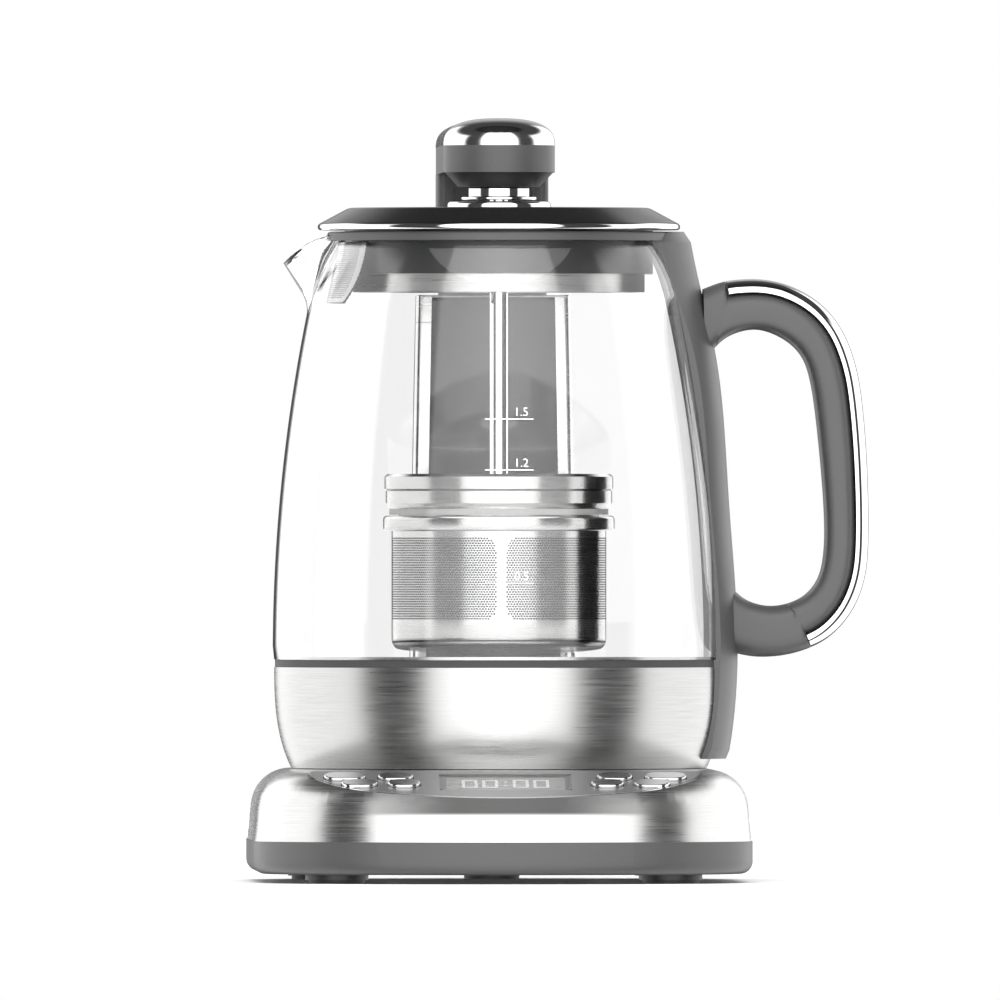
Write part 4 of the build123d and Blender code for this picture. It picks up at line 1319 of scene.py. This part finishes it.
@dataclass
class ArmLooks:
    """Chromed cover of the arm, a crowned dome that runs on as a bar over the slider."""

    shop: Workshop
    side: float = 19.9
    low: float = 261.3
    high: float = 270.9
    back: float = 112.0
    wall: float = 1.95
    fullness: float = 2.6
    steps: int = 26
    around: int = 64
    along: int = 8

    def section(self, inset: float) -> list[Point]:
        """Finds half of the cover's section.

        Args:
            inset: How far it lies inside the outer face.

        Returns:
            Distance from the middle and height, from the lower edge to the crown.
        """
        side, rise = self.side - inset, self.high - self.low - inset
        points = []
        for step in range(self.steps + 1):
            turn = math.pi / 2 * step / self.steps
            points.append((side * max(0.0, math.cos(turn)) ** (2 / self.fullness),
                           self.low + rise * math.sin(turn) ** (2 / self.fullness)))
        return points

    def build(self) -> None:
        """Makes the cover."""
        form, rims = Form(), []
        turns = [math.pi + math.pi * side / self.around for side in range(self.around + 1)]
        for inset in (0.0, self.wall):
            profile = self.section(inset)
            stops = [(self.back - inset) * step / self.along for step in range(self.along + 1)]
            dome = [[(r * math.cos(turn), r * math.sin(turn), z) for r, z in profile]
                    for turn in turns]
            across = [(-r, z) for r, z in profile] + profile[-2::-1]
            bar = [[(x, y, z) for x, z in across] for y in stops]
            form.add(grid(dome)).add(grid(bar).close(bar[-1]))
            side = profile[0][0]
            rim = [row[0] for row in dome]
            rim += [(side, y, self.low) for y in stops[1:]]
            rim += [(-side, y, self.low) for y in stops[:0:-1]]
            rims.append(rim + rim[:1])
        self.shop.piece("arm_dome", form.add(grid(rims)), ARM_CHROME, "lift", ("arm_cover",),
                        "chrome", crease=50)


# ---- control panel


@dataclass
class PanelLooks:
    """Display under the window of the control panel."""

    shop: Workshop
    tilt: float = 14.5
    back: float = -80.0
    height: float = 40.0
    middle: float = 16.3
    width: float = 46.1
    depth: float = 21.0
    pane: float = 1.2
    border: float = 2.0
    border_depth: float = 0.02
    border_thick: float = 0.5
    plate_depth: float = 0.12
    plate_thick: float = 0.4
    figures: tuple[float, ...] = (-15.4, -8.2, 2.6, 9.8)
    figure_width: float = 5.6
    figure_height: float = 10.5
    stroke: float = 1.1
    gap: float = 0.15
    ink_depth: float = 0.06
    ink_thick: float = 0.05
    bevel: float = 0.15
    dot_rise: float = 2.2

    def on_slope(self, across: float, down: float, above: float) -> Corner:
        """Returns the place for a distance across the panel, down its slope and above its face."""
        turn = math.radians(self.tilt)
        return (across, self.back - down * math.cos(turn) - above * math.sin(turn),
                self.height - down * math.sin(turn) + above * math.cos(turn))

    def tile(self, left: float, right: float, upper: float, lower: float, top: float,
             thick: float) -> Form:
        """Makes a thin plate on the slope.

        Args:
            left: Its left edge.
            right: Its right edge.
            upper: Its edge nearer the jug, down the slope.
            lower: Its edge nearer the front.
            top: Its face above the panel's face.
            thick: Its thickness.

        Returns:
            The plate, with small chamfers on its upper edges.
        """
        bevel = min(self.bevel, thick / 3)
        rows = []
        for inset, above in ((0.0, top - thick), (0.0, top - bevel), (bevel, top)):
            x, y = (left + inset, right - inset), (upper + inset, lower - inset)
            rows.append([self.on_slope(x[i], y[j], above)
                         for i, j in ((0, 0), (1, 0), (1, 1), (0, 1), (0, 0))])
        return capped(rows)

    def stroke_tile(self, left: float, right: float, upper: float, lower: float) -> Form:
        """Returns a lit bar of the display as a thin plate under the window."""
        return self.tile(left, right, upper, lower, -self.pane - self.ink_depth, self.ink_thick)

    def nought(self, left: float) -> Form:
        """Makes a nought from its six lit bars.

        Args:
            left: Its left edge.

        Returns:
            The figure.
        """
        right = left + self.figure_width
        upper = self.middle - self.figure_height / 2
        lower = self.middle + self.figure_height / 2
        form = Form()
        for start in (upper, lower - self.stroke):
            form.add(self.stroke_tile(left + self.gap, right - self.gap, start,
                                      start + self.stroke))
        for first, last in ((upper, self.middle), (self.middle, lower)):
            for start in (left, right - self.stroke):
                form.add(self.stroke_tile(start, start + self.stroke, first + self.gap,
                                          last - self.gap))
        return form

    def build(self) -> None:
        """Makes the display's border, its plate and its figures."""
        right, lower = self.width / 2, self.middle + self.depth / 2
        left, upper = -right, self.middle - self.depth / 2
        inner = (left + self.border, right - self.border, upper + self.border,
                 lower - self.border)
        frame = Form()
        for edges in ((left, right, upper, inner[2]), (left, right, inner[3], lower),
                      (left, inner[0], *inner[2:]), (inner[1], right, *inner[2:])):
            frame.add(self.tile(*edges, -self.pane - self.border_depth, self.border_thick))
        self.shop.piece("display_border", frame, DARK_PLASTIC, "base")
        plate = self.tile(*inner, -self.pane - self.plate_depth, self.plate_thick)
        self.shop.piece("display_plate", plate, SCREEN, "base")
        figures, half = Form(), self.stroke / 2
        for left in self.figures:
            figures.add(self.nought(left))
        for down in (self.middle - self.dot_rise, self.middle + self.dot_rise):
            figures.add(self.stroke_tile(-half, half, down - half, down + half))
        self.shop.piece("display_figures", figures, SEGMENT, "base")


# ---- studio


@dataclass
class Studio:
    """Camera, soft light and floor.

    A fade goes from its first to its second angle, and from its third to its fourth value.
    """

    shop: Workshop
    azimuth: float = -1.4
    distance: float = 14.5
    lens: float = 1470.4
    aim_right: float = 0.4
    aim_height: float = 135.4
    sky: float = 3.4
    sky_spread: float = 1.4
    sky_lean: float = 18.0
    floor_half: float = 3.0
    box_side: Fade = (37.0, 42.0, 1.0, 0.03)
    box_fall: Fade = (0.0, 40.0, 3.0, 2.1)
    box_top: Fade = (60.0, 66.0, 1.0, 0.0)
    wall_front: Fade = (72.0, 80.0, 0.0, 1.7)
    wall_back: Fade = (158.0, 166.0, 1.0, 0.02)
    wall_top: Fade = (30.0, 40.0, 1.0, 0.0)
    rear_foot: Fade = (3.0, 12.0, 0.0, 1.0)
    rear_fall: Fade = (12.0, 42.0, 0.5, 0.002)
    rear_side: Fade = (100.0, 140.0, 0.0, 1.0)
    roof: Fade = (60.0, 75.0, 0.002, 0.03)
    edge: Fade = (70.0, 74.0, 1.0, 0.02)
    shown_bounces: float = 1.5

    def camera(self) -> None:
        """Sets the camera in front of the panel, level with the middle of the jug."""
        data = bpy.data.cameras.new("camera")
        data.lens = self.lens
        data.sensor_width = 36.0
        data.clip_end = 2 * self.distance + 1.0
        camera = placed("camera", data)
        turn = math.radians(self.azimuth)
        back = Vector((math.sin(turn), -math.cos(turn), 0.0))
        aim = self.shop.axis + Vector((self.aim_right * MM, 0.0, self.aim_height * MM))
        camera.location = aim + back * self.distance
        camera.rotation_mode = "QUATERNION"
        camera.rotation_quaternion = (-back).to_track_quat("-Z", "Y")
        bpy.context.scene.camera = camera

    def light(self, graph: Graph, around: bpy.types.NodeSocket,
              up: bpy.types.NodeSocket) -> bpy.types.NodeSocket:
        """Mixes the light round the object.

        Args:
            graph: Tree of the world.
            around: Angle from the front in degrees, the same on both sides.
            up: Angle above the floor in degrees.

        Returns:
            Its strength: a front softbox, side walls, a low rear wall and a faint roof.
        """
        box = graph.product(graph.smooth(around, *self.box_side),
                            graph.smooth(around, *self.box_fall), graph.smooth(up, *self.box_top))
        wall = graph.product(graph.smooth(around, *self.wall_front),
                             graph.smooth(around, *self.wall_back),
                             graph.smooth(up, *self.wall_top))
        rear = graph.product(graph.smooth(up, *self.rear_foot), graph.smooth(up, *self.rear_fall),
                             graph.smooth(around, *self.rear_side))
        roof = graph.smooth(up, *self.roof)
        return graph.math("ADD", graph.math("ADD", rear, roof), graph.math("ADD", wall, box))

    def surroundings(self) -> None:
        """Sets the light round the object and the white that is seen behind it."""
        world = bpy.data.worlds.new("studio")
        bpy.context.scene.world = world
        world.use_nodes = True
        graph = Graph(world.node_tree)
        split = graph.add("SeparateXYZ")
        graph.join(graph.add("TexCoord").outputs["Generated"], split.inputs[0])
        x, y, z = split.outputs
        degrees = 180 / math.pi
        around = graph.product(graph.math("ARCTAN2", graph.math("ABSOLUTE", x),
                                          graph.product(y, -1.0)), degrees)
        up = graph.product(graph.math("ARCSINE", z), degrees)
        bent = graph.product(graph.math("ARCCOSINE", y), degrees)
        studio, plain = graph.add("Background"), graph.add("Background")
        graph.join(self.light(graph, around, up), studio.inputs["Strength"])
        graph.join(graph.smooth(bent, *self.edge), plain.inputs["Strength"])
        for node in (studio, plain):
            node.inputs["Color"].default_value = (1, 1, 1, 1)
        path = graph.add("LightPath")
        bounces = graph.math("SUBTRACT", path.outputs["Ray Depth"],
                             path.outputs["Transmission Depth"])
        through = graph.product(graph.math("LESS_THAN", bounces, self.shown_bounces),
                                path.outputs["Is Transmission Ray"])
        mix = graph.add("MixShader")
        graph.join(graph.math("MAXIMUM", through, path.outputs["Is Camera Ray"]), mix.inputs[0])
        graph.join(studio.outputs[0], mix.inputs[1])
        graph.join(plain.outputs[0], mix.inputs[2])
        graph.join(mix.outputs[0], graph.add("OutputWorld").inputs[0])

    def skylight(self) -> None:
        """Adds the wide soft light from above that keeps the floor evenly white."""
        data = bpy.data.lights.new("skylight", "SUN")
        data.angle = self.sky_spread
        data.energy = self.sky
        lamp = placed("skylight", data)
        lamp.rotation_euler = (math.radians(self.sky_lean), 0.0, 0.0)
        lamp.visible_glossy = False

    def floor(self) -> None:
        """Lays a plain pale floor."""
        mesh = bpy.data.meshes.new("floor")
        half = self.floor_half
        corners = [(-half, -half, 0), (half, -half, 0), (half, half, 0), (-half, half, 0)]
        mesh.from_pydata(corners, [], [(0, 1, 2, 3)])
        mesh.materials.append(FLOOR.material())
        floor = placed("floor", mesh)
        floor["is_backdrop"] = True
        floor.visible_glossy = False

    def build(self) -> None:
        """Makes the camera, the light and the floor."""
        bpy.context.scene.view_settings.view_transform = "Standard"
        self.camera()
        self.surroundings()
        self.floor()
        self.skylight()


def write_sizes(packed: tuple[Vector, Vector], shown: tuple[Vector, Vector]) -> None:
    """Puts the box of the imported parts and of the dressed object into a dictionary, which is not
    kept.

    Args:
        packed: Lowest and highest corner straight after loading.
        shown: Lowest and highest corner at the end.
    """
    {"cad": [list(c) for c in packed], "visual": [list(c) for c in shown]}


def main() -> None:
    """Builds the looks in order."""
    logging.basicConfig(level=logging.INFO, format="%(message)s")
    shop = Workshop()
    Studio(shop).build()
    shop.dress()
    glass = GlassLooks(shop)
    glass.build()
    StrainerLooks(shop).build()
    LevelMarks(shop, glass).build()
    for looks in (BasketLooks, CoverLooks, ColumnLooks, HandleLooks, LidLooks, ArmLooks,
                  PanelLooks):
        looks(shop).build()
    write_sizes(shop.packed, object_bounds())


if __name__ == "__main__":
    main()
